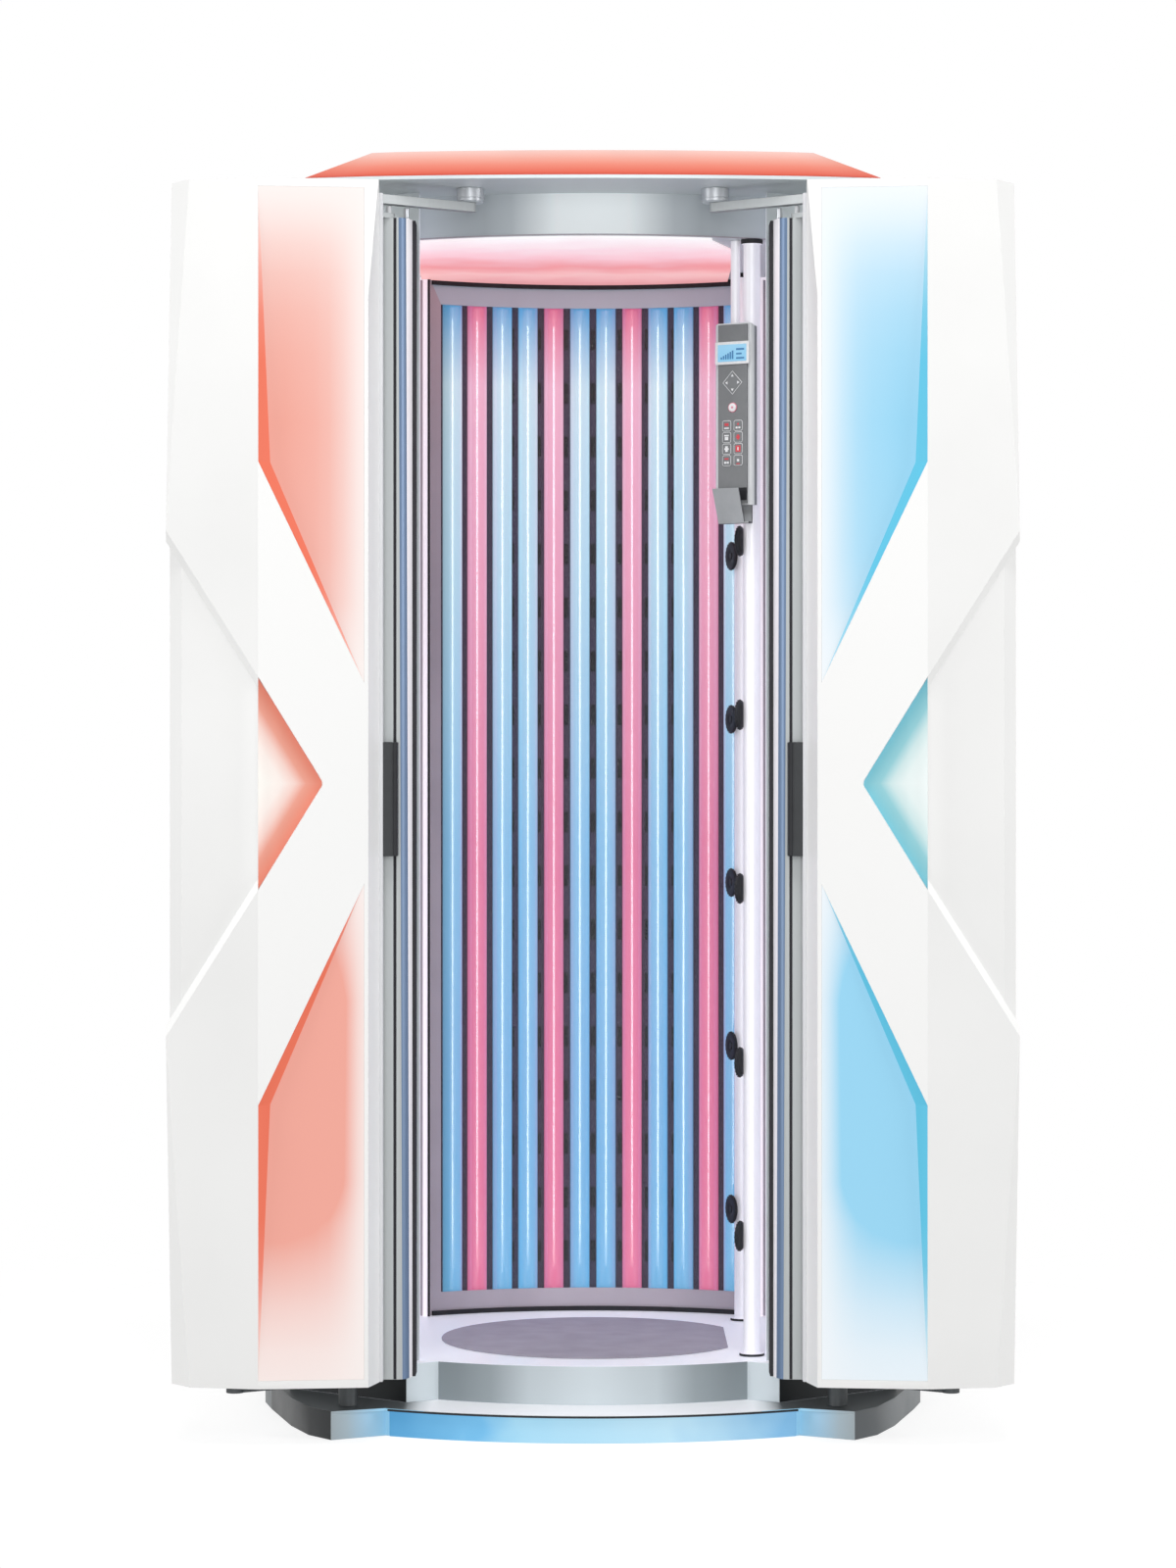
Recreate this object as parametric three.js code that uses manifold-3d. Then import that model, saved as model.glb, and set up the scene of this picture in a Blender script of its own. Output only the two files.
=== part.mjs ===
// Vertical tanning booth with two swinging doors, shown with the doors open.
// Millimetres, +Z up, the front faces -Y. The origin lies on the floor under the cabin.
import * as THREE from "three";
import { ConvexGeometry } from "three/addons/geometries/ConvexGeometry.js";
import { mergeVertices } from "three/addons/utils/BufferGeometryUtils.js";
import Module from "manifold-3d";

const wasm = await Module();
wasm.setup();

// Clearances
const gap = 0.4; // between pieces that sit against each other
const runningGap = 1.2; // between pieces that move past each other
const bite = 1; // joined solids reach this far into each other
const beyond = 50; // cutters reach this far past the piece they cut

// Heights, from the floor up
const baseHeight = 50;
const platformRise = 68;
const cabinHeight = 1989;
const fasciaHeight = 74;
const soffitThickness = 6;
const domeRise = 55;
const domeCrown = 20;

// Sheet and plate thicknesses
const sheet = 4;
const basePlate = 5;
const platformPlate = 6;

// Plan of the base and the housing, right half
const baseFront = 624; // front edge of the base plate on the centre line
const baseArcRadius = 792;
const wingInnerX = 361;
const wingX = 453;
const wingY = -575;
const flankShares = [0.18, 0.47]; // corners of the base between the wing and the side
const flankBulge = 21;
const sideX = 584;
const sideY = -217;
const backY = 560;
const shellInset = 6;
const shellFrontY = -300;
const glowSetBack = 9;
const glowThickness = 6;

// Plan of the platform
const riserFront = 505;
const riserRadius = 600;
const riserHalfWidth = 273;
const cheekX = 327;
const cheekY = -474;
const cheekSlope = 0.81; // run back for each millimetre outwards

// Floor mat
const matRadius = 278;
const matCentreY = -133;
const matCutX = 244;
const matThickness = 3;

// Cabin side walls
const wallFrontY = -436;
const wallTaper = 6.5; // the walls come closer towards the front
const wallClear = 0.8; // between a wall and the corner of the lamp housing
const wallPost = 36; // depth of the post at the front of a wall
const wallStep = 20; // the wall lies this far outside its post

// Rear lamp housing: all arcs share one centre on the line X = 0
const lampArcCentreY = -360;
const housingFrontRadius = 632;
const housingDepth = 72;
const housingHalfAngle = 29.6;
const housingRim = 5; // thickness of the front wall of the housing
const housingEndAngle = 0.5; // end walls of the housing, in degrees
const windowHalfAngle = 27.45;
const bandHeight = 44; // lamp-end covers above and below the window
const lampCount = 12;
const lampDiameter = 38;
const lampPitchAngle = 4.36;
const lampSetBack = 36; // lamp axes behind the front of the housing
const shieldThickness = 3;

// Canopy plan
const rimFront = 605;
const rimCornerX = 390;
const rimCornerY = -582;
const rimShoulderX = 500;
const rimShoulderY = -560;
const fasciaFront = 424;
const fasciaRadius = 780;
const fasciaClear = 3.5; // between the fascia's ends and the side walls
const fasciaThickness = 6;
const ceilingPlate = 5;
const ceilingPanelDrop = 4;
const panelMargin = 1.5;
const panelBackGap = 3;
const panelStep = 43; // right edge left of the conduit, at the front
const panelFlank = 4; // right edge right of the conduit, behind it
const panelStepRun = 131;
const domeInset = 86;
const crownInset = 250;
const domeNarrow = 0.9; // the upper rings of the dome draw in sideways
const domeWall = 5;

// Fan in the canopy
const fanY = 200;
const fanRadius = 120;
const fanHubRadius = 38;
const fanHeight = 26;
const fanBladeCount = 7;
const fanShaftRadius = 8;
const fanSeat = 6;
const fanSeatDiameter = 28;
const bladeRoot = 8; // reach of a blade into the hub
const bladeThickness = 3;
const bladeTilt = 34; // degrees

// Ballast tray behind the lamps
const ballastGap = 56; // behind the lamp housing
const ballastHalfWidth = 190;
const ballastHeight = 1150;
const ballastBox = [110, 46, 150];
const ballastRows = 4;
const ballastFoot = 50;

// Upright tubes on the right of the cabin
const poleDiameter = 30;
const poleInset = 23.1; // from the side wall
const poleY = -363;
const columnInset = 28.2; // from the corner of the lamp housing, across
const columnForward = 63.5; // and forwards
const collarDiameter = 45;
const collarHeight = 4;

// Air nozzles: turning ones on the column, fixed ones on the pole
const nozzleCount = 5; // on each tube
const nozzleLowest = 212; // above the platform
const nozzlePitch = 310;
const nozzleDiameter = 54;
const nozzleLength = 8;
const columnTurn = 200; // direction of the column's nozzles about Z, in degrees
const poleTurn = 160; // and of the pole's
const nozzleNeckDiameter = 20;
const nozzleNeck = 2;

// Control unit
const unitInset = 34.4; // from the pole
const unitY = -410;
const unitTurn = -30; // degrees about Z, towards the user
const unitWidth = 78;
const unitDepth = 15;
const unitHeight = 323;
const unitRound = 9;
const unitDrop = 154; // from the ceiling to the top of the unit
const plateWidth = 58;
const plateThickness = 3;
const plateMargin = 3;
const conduitDiameter = 17;
const conduitInset = 28.6; // from the pole
const conduitY = -345;
const displayHeight = 38;
const displayDrop = 34;
const navSize = 34;
const navDrop = 106;
const startDiameter = 17;
const startDrop = 150;
const keyWidth = 16;
const keyHeight = 18;
const keyPitchX = 23;
const keyPitchZ = 20.5;
const keyDrop = 172;
const keyRows = 4;
const buttonThickness = 2.4;
const buttonProud = 0.9;
const clampWidth = 12;
const clampHeight = 40;
const trayDrop = 32; // from the bottom of the unit to the bottom of the tray
const trayHeight = 61;
const trayReach = 24;
const trayWidth = 52;
const traySheet = 2.5;

// Door linkage: both arms of a side share the vector from the body pivot to the door pivot
const topPivotX = -215;
const topPivotY = -474;
const lowerPivotX = -428;
const lowerPivotY = -503;
const armLength = 226;
const armAngle = 214.2; // degrees about Z with the door open
const armWidth = 20;
const armThickness = 16;
const armDrop = 25; // from the soffit to the top of the upper arm
const bossDiameter = 46;
const pinDiameter = 12;
const pinDepth = 6; // of the door pin below the top of the edge profile
const lowerArmThickness = 12;
const lowerPostDiameter = 34;

// Door, left one, open
const doorLift = 54; // from the base plate to the bottom of the door
const doorHeadGap = 11; // from the top of the door to the soffit
const doorInner = [-368.5, -600];
const doorInnerCrease = [-384, -663];
const doorCrease = [-571, -684];
const doorOuterCrease = [-690, -662];
const doorOuter = [-725, -616];
const doorOuterBack = [-727, -548];
const doorFlare = 9; // extra reach of the outer side at the notch
const creaseFlare = 41; // and of the outer crease, along the front
const cornerDrop = 200; // height of the small facet at the inner top corner
const cornerReach = 18;
const doorSkin = 20;
const doorSide = 6;
const recessDepth = 16;
const recessRun = 21; // slope of the recess walls, over their depth
const chevronReach = 549; // from mid-height to the deep corners of the lit recesses
const bandReach = 172; // from mid-height to the inner ends of the lit recesses
const diamondReach = 182;
const diamondWidth = 112;
const diamondTip = 13; // rounding of the inner tip of the diamond
const notchReach = 438;
const notchDepth = 9;
const notchRun = 20; // slope of the notch walls, over their depth
const notchSide = [-728, -616];
const notchCreaseX = -704;
const recessMargin = 14;
const panelBacking = 4;

// Door edge profile, an aluminium extrusion
const stripLeft = -364;
const stripRight = -337;
const stripFront = -566;
const noseX = -311.5;
const noseBack = -480;
const profileTopGap = 63; // from the soffit to the top of the profile
const profileWall = 4;
const noseStart = 14; // run of the bullnose from the strip, before it turns back
const noseTurn = 26;
const noseRun = 66;
const backSlant = 30;
const bracketThickness = 8;
const bracketWidth = 18;
const bracketInset = 11; // of the bracket's round end from the corner of the strip
const tongueLength = 38;
const tongueThickness = 4;
const handleHeight = 197;
const handleReach = 30;
const handleWidth = 27;
const handleDrop = 27; // middle of the handle below the middle of the door

// Door lamp bank
const bankLampCount = 6;
const bankLampDiameter = 32;
const bankThickness = 16;
const bankTopGap = 60;

const radians = THREE.MathUtils.degToRad;

// Derived places
const housingCornerX = housingFrontRadius * Math.sin(radians(housingHalfAngle));
const housingCornerY = lampArcCentreY + housingFrontRadius * Math.cos(radians(housingHalfAngle));
const wallBackX = housingCornerX + wallClear;
const wallFrontX = wallBackX - wallTaper;
const fasciaHalfWidth = wallFrontX + wallStep - fasciaClear;
const ballastY = lampArcCentreY + housingFrontRadius + housingDepth + ballastGap;
const poleX = wallFrontX - poleInset;
const columnX = housingCornerX - columnInset;
const columnY = housingCornerY - columnForward;
const unitX = poleX - unitInset;
const conduitX = poleX - conduitInset;

// Derived heights
const platformTop = baseHeight + platformRise;
const ceilingZ = platformTop + cabinHeight;
const soffitZ = ceilingZ + fasciaHeight;
const domeZ = soffitZ + soffitThickness + gap;
const doorBottom = baseHeight + doorLift;
const doorTop = soffitZ - doorHeadGap;
const doorMid = (doorBottom + doorTop) / 2;
const armTop = soffitZ - armDrop;
const armBottom = armTop - armThickness;
const profileTop = soffitZ - profileTopGap;

// Colours follow the finishes of the real pieces
const finishes = {
  whiteShell: { color: 0xf6f7f8, roughness: 0.35, metalness: 0 },
  greyPaint: { color: 0xc9ced4, roughness: 0.45, metalness: 0 },
  silver: { color: 0xb4b8bc, roughness: 0.3, metalness: 0.9 },
  darkFrame: { color: 0x5a5667, roughness: 0.5, metalness: 0.2 },
  blackPlastic: { color: 0x24262a, roughness: 0.5, metalness: 0 },
  mat: { color: 0x8a8696, roughness: 0.9, metalness: 0 },
  coral: { color: 0xf2907c, roughness: 0.4, metalness: 0 },
  blue: { color: 0x8fd2f2, roughness: 0.4, metalness: 0 },
  pink: { color: 0xf3b4c4, roughness: 0.4, metalness: 0 },
  clear: { color: 0xe8eef4, roughness: 0.1, metalness: 0 },
  keypad: { color: 0x7b7b7d, roughness: 0.5, metalness: 0 },
};

// A closed geometry as a solid that can be joined and cut
function solid(geometry) {
  const bare = geometry.clone();
  bare.deleteAttribute("normal");
  bare.deleteAttribute("uv");
  const merged = mergeVertices(bare, 1e-4);
  return new wasm.Manifold(
    new wasm.Mesh({
      numProp: 3,
      vertProperties: new Float32Array(merged.attributes.position.array),
      triVerts: new Uint32Array(merged.index.array),
    }),
  );
}

// A solid back as a flat-shaded geometry
function geometryOf(made) {
  const mesh = made.getMesh();
  const indexed = new THREE.BufferGeometry();
  indexed.setAttribute("position", new THREE.BufferAttribute(mesh.vertProperties, 3));
  indexed.setIndex(new THREE.BufferAttribute(mesh.triVerts, 1));
  const flat = indexed.toNonIndexed();
  flat.computeVertexNormals();
  return flat;
}

// Points of an arc about a centre, angles in degrees
function arc(centreX, centreY, radius, from, to, steps) {
  return Array.from({ length: steps + 1 }, (_, i) => {
    const angle = radians(from + ((to - from) * i) / steps);
    return [centreX + radius * Math.cos(angle), centreY + radius * Math.sin(angle)];
  });
}

// A front arc bulging towards -Y, from -halfWidth to +halfWidth
function frontArc(front, radius, halfWidth, steps) {
  const half = THREE.MathUtils.radToDeg(Math.asin(halfWidth / radius));
  return arc(0, radius - front, radius, 270 - half, 270 + half, steps);
}

// The closed outline moved inwards by a distance, for outlines listed anticlockwise
function inset(points, distance) {
  const count = points.length;
  return points.map((point, i) => {
    const before = points[(i + count - 1) % count];
    const after = points[(i + 1) % count];
    const inLength = Math.hypot(point[0] - before[0], point[1] - before[1]);
    const outLength = Math.hypot(after[0] - point[0], after[1] - point[1]);
    const inNormal = [-(point[1] - before[1]) / inLength, (point[0] - before[0]) / inLength];
    const outNormal = [-(after[1] - point[1]) / outLength, (after[0] - point[0]) / outLength];
    const spread = 1 + inNormal[0] * outNormal[0] + inNormal[1] * outNormal[1];
    return [
      point[0] + (distance * (inNormal[0] + outNormal[0])) / spread,
      point[1] + (distance * (inNormal[1] + outNormal[1])) / spread,
    ];
  });
}

function shapeOf(points) {
  return new THREE.Shape(points.map(([x, y]) => new THREE.Vector2(x, y)));
}

// An upright prism of a plan outline
function prism(points, low, high) {
  const geometry = new THREE.ExtrudeGeometry(shapeOf(points), { depth: high - low, bevelEnabled: false });
  geometry.translate(0, 0, low);
  return solid(geometry);
}

function hull(points) {
  return solid(new ConvexGeometry(points.map(([x, y, z]) => new THREE.Vector3(x, y, z))));
}

function box(low, high) {
  const geometry = new THREE.BoxGeometry(high[0] - low[0], high[1] - low[1], high[2] - low[2]);
  geometry.translate((low[0] + high[0]) / 2, (low[1] + high[1]) / 2, (low[2] + high[2]) / 2);
  return solid(geometry);
}

// An upright round bar
function bar(x, y, diameter, low, high, sides = 18) {
  const geometry = new THREE.CylinderGeometry(diameter / 2, diameter / 2, high - low, sides);
  geometry.rotateX(Math.PI / 2);
  geometry.translate(x, y, (low + high) / 2);
  return solid(geometry);
}

function join(...pieces) {
  return pieces.reduce((all, piece) => all.add(piece));
}

function meshOf(name, made, finish) {
  const geometry = made.isBufferGeometry ? made : geometryOf(made);
  const mesh = new THREE.Mesh(geometry, new THREE.MeshStandardMaterial(finishes[finish]));
  mesh.name = name;
  return mesh;
}

// Back arc through both side corners and the rear of the base
const backCentreY = (sideX ** 2 + sideY ** 2 - backY ** 2) / (2 * (sideY - backY));
const backRadius = backY - backCentreY;
const sideTurn = THREE.MathUtils.radToDeg(Math.asin((sideY - backCentreY) / backRadius));
const backArc = arc(0, backCentreY, backRadius, sideTurn, 180 - sideTurn, 26);

// Outline of the body, anticlockwise from the left end of its front arc
const bodyOutline = [
  ...frontArc(baseFront, baseArcRadius, wingInnerX, 20),
  [wingX, wingY],
  ...backArc,
  [-wingX, wingY],
];

// Outline of the base plate: as the body, with bulging flanks
const flankRun = Math.hypot(sideX - wingX, sideY - wingY);
const baseFlank = flankShares.map((share) => [
  wingX + share * (sideX - wingX) + (flankBulge * (sideY - wingY)) / flankRun,
  wingY + share * (sideY - wingY) - (flankBulge * (sideX - wingX)) / flankRun,
]);
const baseOutline = [
  ...frontArc(baseFront, baseArcRadius, wingInnerX, 20),
  [wingX, wingY],
  ...baseFlank,
  ...backArc,
  ...baseFlank.map(([x, y]) => [-x, y]).reverse(),
  [-wingX, wingY],
];

// Outline of the platform: front arc, cheeks, and the housing's inside behind them
const cheekRun = sideX + wingX;
const cheekOutline = [
  ...frontArc(riserFront, riserRadius, riserHalfWidth, 16),
  [cheekX, cheekY],
  [cheekX + cheekRun, cheekY + cheekRun * cheekSlope],
  [cheekX + cheekRun, backY + cheekRun],
  [-cheekX - cheekRun, backY + cheekRun],
  [-cheekX - cheekRun, cheekY + cheekRun * cheekSlope],
  [-cheekX, cheekY],
];

// Room that the platform takes, moved in by a distance
function platformBlock(distance, low, high) {
  const within = prism(inset(bodyOutline, shellInset + sheet + gap + distance), low, high);
  return prism(inset(cheekOutline, distance), low, high).intersect(within);
}

// Base: a shallow pan with a front plate that covers the glow panel
function makeBase() {
  const glowBack = frontArc(baseFront - glowSetBack - glowThickness - gap, baseArcRadius, wingInnerX, 20);
  const below = [...glowBack, ...baseOutline.slice(glowBack.length)];
  const plateLow = baseHeight - basePlate;
  const body = join(prism(below, 0, baseHeight), prism(baseOutline, plateLow, baseHeight));
  const hollow = prism(inset(below, sheet), sheet, plateLow);
  const mouth = platformBlock(4 * sheet, sheet, baseHeight + sheet);
  return body.subtract(hollow).subtract(mouth);
}

function makeGlowPanel() {
  const front = baseFront - glowSetBack;
  const halfWidth = wingInnerX - 2 * gap - glowThickness;
  const strip = [
    ...frontArc(front, baseArcRadius, halfWidth, 20),
    ...frontArc(front - glowThickness, baseArcRadius, halfWidth, 20).reverse(),
  ];
  return prism(strip, gap, baseHeight - basePlate - gap);
}

function makePlatform() {
  const low = baseHeight + gap;
  const under = platformBlock(sheet, low - sheet, platformTop - platformPlate);
  return platformBlock(0, low, platformTop).subtract(under);
}

function makeMat() {
  const half = THREE.MathUtils.radToDeg(Math.acos(matCutX / matRadius));
  const edge = arc(0, matCentreY, matRadius, half, 360 - half, 44);
  return prism(edge, platformTop + gap, platformTop + gap + matThickness);
}

// Rear shell: one sheet round the sides and the back
function makeRearShell() {
  const low = baseHeight + gap;
  const high = soffitZ - gap;
  const outer = prism(inset(bodyOutline, shellInset), low, high);
  const inner = prism(inset(bodyOutline, shellInset + sheet), low - sheet, high + sheet);
  const front = box([-2 * sideX, -2 * baseFront, low - sheet], [2 * sideX, shellFrontY, high + sheet]);
  return outer.subtract(inner).subtract(front);
}

// X of the inside of the rear shell at a given Y on its straight flank
function shellInnerX(y) {
  const slope = (sideX - wingX) / (sideY - wingY);
  const across = Math.hypot(1, slope);
  return wingX + (y - wingY) * slope - (shellInset + sheet) * across;
}

// Side wall: front post, recessed wall with a flange behind, and the jamb beside the door
function makeSideWall() {
  const jambY = shellFrontY + 3 * sheet;
  const jambX = shellInnerX(jambY) - sheet - gap;
  const back = housingCornerY - sheet;
  const post = wallFrontY + wallPost;
  const outline = [
    [wallBackX, back],
    [wallBackX, back - sheet],
    [wallBackX + wallStep, back - sheet],
    [wallFrontX + wallStep, post],
    [wallFrontX, post],
    [wallFrontX, wallFrontY],
    [jambX, jambY - sheet],
    [jambX, jambY],
    [wallFrontX + sheet, wallFrontY + 2 * sheet],
    [wallFrontX + sheet, post - sheet],
    [wallFrontX + wallStep + sheet, post - sheet],
    [wallBackX + wallStep + sheet, back],
  ];
  return prism(outline, platformTop + gap, soffitZ - gap);
}

// A sector of a ring about the lamp centre
function sector(inner, outer, halfAngle, low, high, steps = 18) {
  const from = 90 - halfAngle;
  const to = 90 + halfAngle;
  const points = [
    ...arc(0, lampArcCentreY, outer, from, to, steps),
    ...arc(0, lampArcCentreY, inner, to, from, steps),
  ];
  return prism(points, low, high);
}

const housingLow = platformTop + gap;
const housingHigh = ceilingZ - gap;
const housingBackRadius = housingFrontRadius + housingDepth;
const windowLow = platformTop + bandHeight;
const windowHigh = ceilingZ - bandHeight - housingRim;

// Rear lamp housing: a curved tray with a window, open behind for its wiring
function makeLampHousing() {
  const body = sector(housingFrontRadius, housingBackRadius, housingHalfAngle, housingLow, housingHigh);
  const room = sector(
    housingFrontRadius + housingRim,
    housingBackRadius - sheet,
    housingHalfAngle - housingEndAngle,
    housingLow + sheet,
    housingHigh - sheet,
  );
  const window = sector(
    housingFrontRadius - housingRim,
    housingFrontRadius + 2 * housingRim,
    windowHalfAngle,
    windowLow,
    windowHigh,
  );
  return body.subtract(room).subtract(window);
}

function makeShield() {
  const inner = housingFrontRadius + gap;
  return sector(
    inner,
    inner + shieldThickness,
    windowHalfAngle - THREE.MathUtils.radToDeg(gap / housingFrontRadius),
    windowLow + gap,
    windowHigh - gap,
  );
}

const lampLength = housingHigh - housingLow - 2 * sheet - 2 * gap;

// Fluorescent tube standing on its lower end
function makeLamp() {
  return bar(0, 0, lampDiameter, 0, lampLength, 16);
}

// Outline of the canopy rim, convex, anticlockwise
const rimRadius = (rimCornerX ** 2 + (rimFront + rimCornerY) ** 2) / (2 * (rimFront + rimCornerY));
const rimOutline = [
  ...frontArc(rimFront, rimRadius, rimCornerX, 16),
  [rimShoulderX, rimShoulderY],
  ...backArc,
  [-rimShoulderX, rimShoulderY],
];

// Outline of the ceiling inside the fascia and the side walls, stepped in past their flanges
function ceilingOutline(margin) {
  const front = frontArc(fasciaFront - fasciaThickness, fasciaRadius, fasciaHalfWidth, 14);
  const rearHalf = THREE.MathUtils.radToDeg(Math.asin((wallBackX - 4 * gap) / housingBackRadius));
  const rear = arc(0, lampArcCentreY, housingBackRadius, 90 - rearHalf, 90 + rearHalf, 14);
  const flangeY = housingCornerY - 3 * sheet;
  const shoulder = [
    [wallBackX + wallStep - fasciaClear, flangeY],
    [wallBackX - 4 * gap, flangeY],
  ];
  const mirrored = shoulder.map(([x, y]) => [-x, y]).reverse();
  return inset([...front, ...shoulder, ...rear, ...mirrored], margin);
}

// Canopy frame: soffit, fascia, ceiling plate, arm bosses and the fan shaft
function makeCanopyFrame() {
  const soffit = prism(rimOutline, soffitZ, soffitZ + soffitThickness);
  const fasciaBand = [
    ...frontArc(fasciaFront, fasciaRadius, fasciaHalfWidth, 18),
    ...frontArc(fasciaFront - fasciaThickness, fasciaRadius, fasciaHalfWidth, 18).reverse(),
  ];
  const fascia = prism(fasciaBand, ceilingZ, soffitZ + bite);
  const ceiling = prism(ceilingOutline(-bite), ceilingZ, ceilingZ + ceilingPlate);
  const boss = (side) => bar(side * topPivotX, topPivotY, bossDiameter, armTop + gap, soffitZ + bite);
  const shaftHigh = soffitZ + soffitThickness + fanSeat + fanHeight;
  const shaft = bar(0, fanY, 2 * fanShaftRadius, soffitZ + bite, shaftHigh);
  const seat = bar(0, fanY, fanSeatDiameter, soffitZ + bite, soffitZ + soffitThickness + fanSeat);
  const boreWide = pinDiameter + 2 * gap;
  const bore = (side) => bar(side * topPivotX, topPivotY, boreWide, armTop - bite, soffitZ - gap);
  return join(soffit, fascia, ceiling, boss(1), boss(-1), shaft, seat).subtract(join(bore(1), bore(-1)));
}

// Ceiling light panel: its right edge steps in past the control conduit
function makeCeilingPanel() {
  const free = prism(ceilingOutline(panelMargin), ceilingZ - ceilingPanelDrop - gap, ceilingZ - gap);
  const reach = 2 * sideX;
  const keep = [
    [-reach, -reach],
    [conduitX - panelStep, -reach],
    [conduitX - panelStep, conduitY - conduitDiameter],
    [conduitX + panelFlank, conduitY + panelStepRun],
    [conduitX + panelFlank, reach],
    [-reach, reach],
  ];
  const backRound = 2 * (housingFrontRadius - panelBackGap);
  const within = bar(0, lampArcCentreY, backRound, 0, 2 * ceilingZ, 72);
  return free.intersect(prism(keep, 0, 2 * ceilingZ)).intersect(within);
}

// Dome cover: a faceted shell over the soffit
function makeDome() {
  const layers = (wall) => {
    const ring = (distance, z, wide) => inset(rimOutline, distance).map(([x, y]) => [wide * x, y, z]);
    return hull([
      ...ring(wall, domeZ - wall, 1),
      ...ring(wall, domeZ, 1),
      ...ring(wall + domeInset, domeZ + domeRise - wall, domeNarrow),
      ...ring(wall + crownInset, domeZ + domeRise + domeCrown - wall, domeNarrow),
    ]);
  };
  const below = box([-2 * sideX, -2 * baseFront, domeZ - beyond], [2 * sideX, 2 * baseFront, domeZ]);
  return layers(0).subtract(layers(domeWall)).subtract(below);
}

// Ballast tray: an upright plate with rows of boxes behind the lamps
function makeBallastTray() {
  const low = platformTop + gap;
  const high = low + ballastHeight;
  const plate = box([-ballastHalfWidth, ballastY, low], [ballastHalfWidth, ballastY + sheet, high]);
  const footBack = ballastY + ballastFoot;
  const foot = box([-ballastHalfWidth, ballastY, low], [ballastHalfWidth, footBack, low + sheet]);
  const [wide, deep, tall] = ballastBox;
  const pieces = [plate, foot];
  const rowPitch = (ballastHeight - tall) / ballastRows;
  for (let row = 0; row < ballastRows; row += 1) {
    for (const side of [-1, 1]) {
      const x = side * (ballastHalfWidth - wide / 2 - 2 * sheet);
      const z = low + tall / 2 + row * rowPitch;
      pieces.push(box([x - wide / 2, ballastY + bite, z], [x + wide / 2, ballastY + sheet + deep, z + tall]));
    }
  }
  return join(...pieces);
}

// An upright tube with a collar at each end
function makeUpright(x, y) {
  const low = platformTop + gap;
  const high = ceilingZ - gap;
  return join(
    bar(x, y, poleDiameter, low, high),
    bar(x, y, collarDiameter, low, low + collarHeight),
    bar(x, y, collarDiameter, high - 2 * collarHeight, high),
  );
}

function nozzleHeight(i) {
  return platformTop + nozzleLowest + i * nozzlePitch;
}

// A short round bar along +X, as a solid
function sideBar(diameter, from, to, sides = 12) {
  const geometry = new THREE.CylinderGeometry(diameter / 2, diameter / 2, to - from, sides);
  geometry.rotateZ(Math.PI / 2);
  geometry.translate((from + to) / 2, 0, 0);
  return geometry;
}

// A copy of a sideways piece at each nozzle of a tube
function atNozzles(x, y, turn, geometry) {
  return Array.from({ length: nozzleCount }, (_, i) => {
    const copy = geometry.clone();
    copy.rotateZ(radians(turn));
    copy.translate(x, y, nozzleHeight(i));
    return solid(copy);
  });
}

// Nozzle column: the upright with a neck for each nozzle
function makeNozzleColumn() {
  const neck = sideBar(nozzleNeckDiameter, 0, poleDiameter / 2 + nozzleNeck);
  return join(makeUpright(columnX, columnY), ...atNozzles(columnX, columnY, columnTurn, neck));
}

// Grab pole: the upright with its nozzles fixed on their necks
function makeGrabPole() {
  const neck = sideBar(nozzleNeckDiameter, 0, poleDiameter / 2 + nozzleNeck + gap + bite);
  const necks = atNozzles(poleX, poleY, poleTurn, neck);
  return join(makeUpright(poleX, poleY), ...necks, ...atNozzles(poleX, poleY, poleTurn, nozzleGeometry()));
}

// Air nozzle: a grip ring round a dished face, along +X from its neck
function nozzleGeometry() {
  const radius = nozzleDiameter / 2;
  const start = poleDiameter / 2 + nozzleNeck + gap;
  const profile = [
    [0, start],
    [radius * 0.62, start],
    [radius, start + nozzleLength * 0.35],
    [radius, start + nozzleLength * 0.8],
    [radius * 0.88, start + nozzleLength],
    [radius * 0.5, start + nozzleLength],
    [radius * 0.34, start + nozzleLength * 0.7],
    [0, start + nozzleLength * 0.7],
  ];
  const geometry = new THREE.LatheGeometry(profile.map(([r, y]) => new THREE.Vector2(r, y)), 16);
  geometry.rotateZ(-Math.PI / 2);
  return geometry;
}

// Control unit, in its own frame: the front face lies at y = 0 and looks along -Y, z = 0 is its top
function unitPoint(x, y) {
  const turn = radians(-unitTurn);
  const dx = x - unitX;
  const dy = y - unitY;
  return [dx * Math.cos(turn) - dy * Math.sin(turn), dx * Math.sin(turn) + dy * Math.cos(turn)];
}

function makeUnitHousing() {
  const half = unitWidth / 2;
  const outline = [
    ...arc(-half + unitRound, unitRound, unitRound, 180, 270, 5),
    ...arc(half - unitRound, unitRound, unitRound, 270, 360, 5),
    [half, unitDepth],
    [-half, unitDepth],
  ];
  const body = prism(outline, -unitHeight, 0);
  const [conduitU, conduitV] = unitPoint(conduitX, conduitY);
  const [poleU, poleV] = unitPoint(poleX, poleY);
  const conduit = bar(conduitU, conduitV, conduitDiameter, -unitHeight / 2, unitDrop - gap, 16);
  const spineHalf = conduitDiameter / 3;
  const spine = box(
    [conduitU - spineHalf, unitDepth - bite, -unitHeight / 2],
    [conduitU + spineHalf, conduitV, -unitHeight / 8],
  );
  const clampReach = poleV - poleDiameter / 2 - gap;
  const clamp = (z) =>
    box(
      [poleU - clampWidth / 2, unitDepth - bite, z - clampHeight / 2],
      [poleU + clampWidth / 2, clampReach, z + clampHeight / 2],
    );
  const clamps = join(clamp(-unitHeight / 4), clamp((-3 * unitHeight) / 4));
  return join(body, conduit, spine, clamps, makeTray(half));
}

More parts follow.
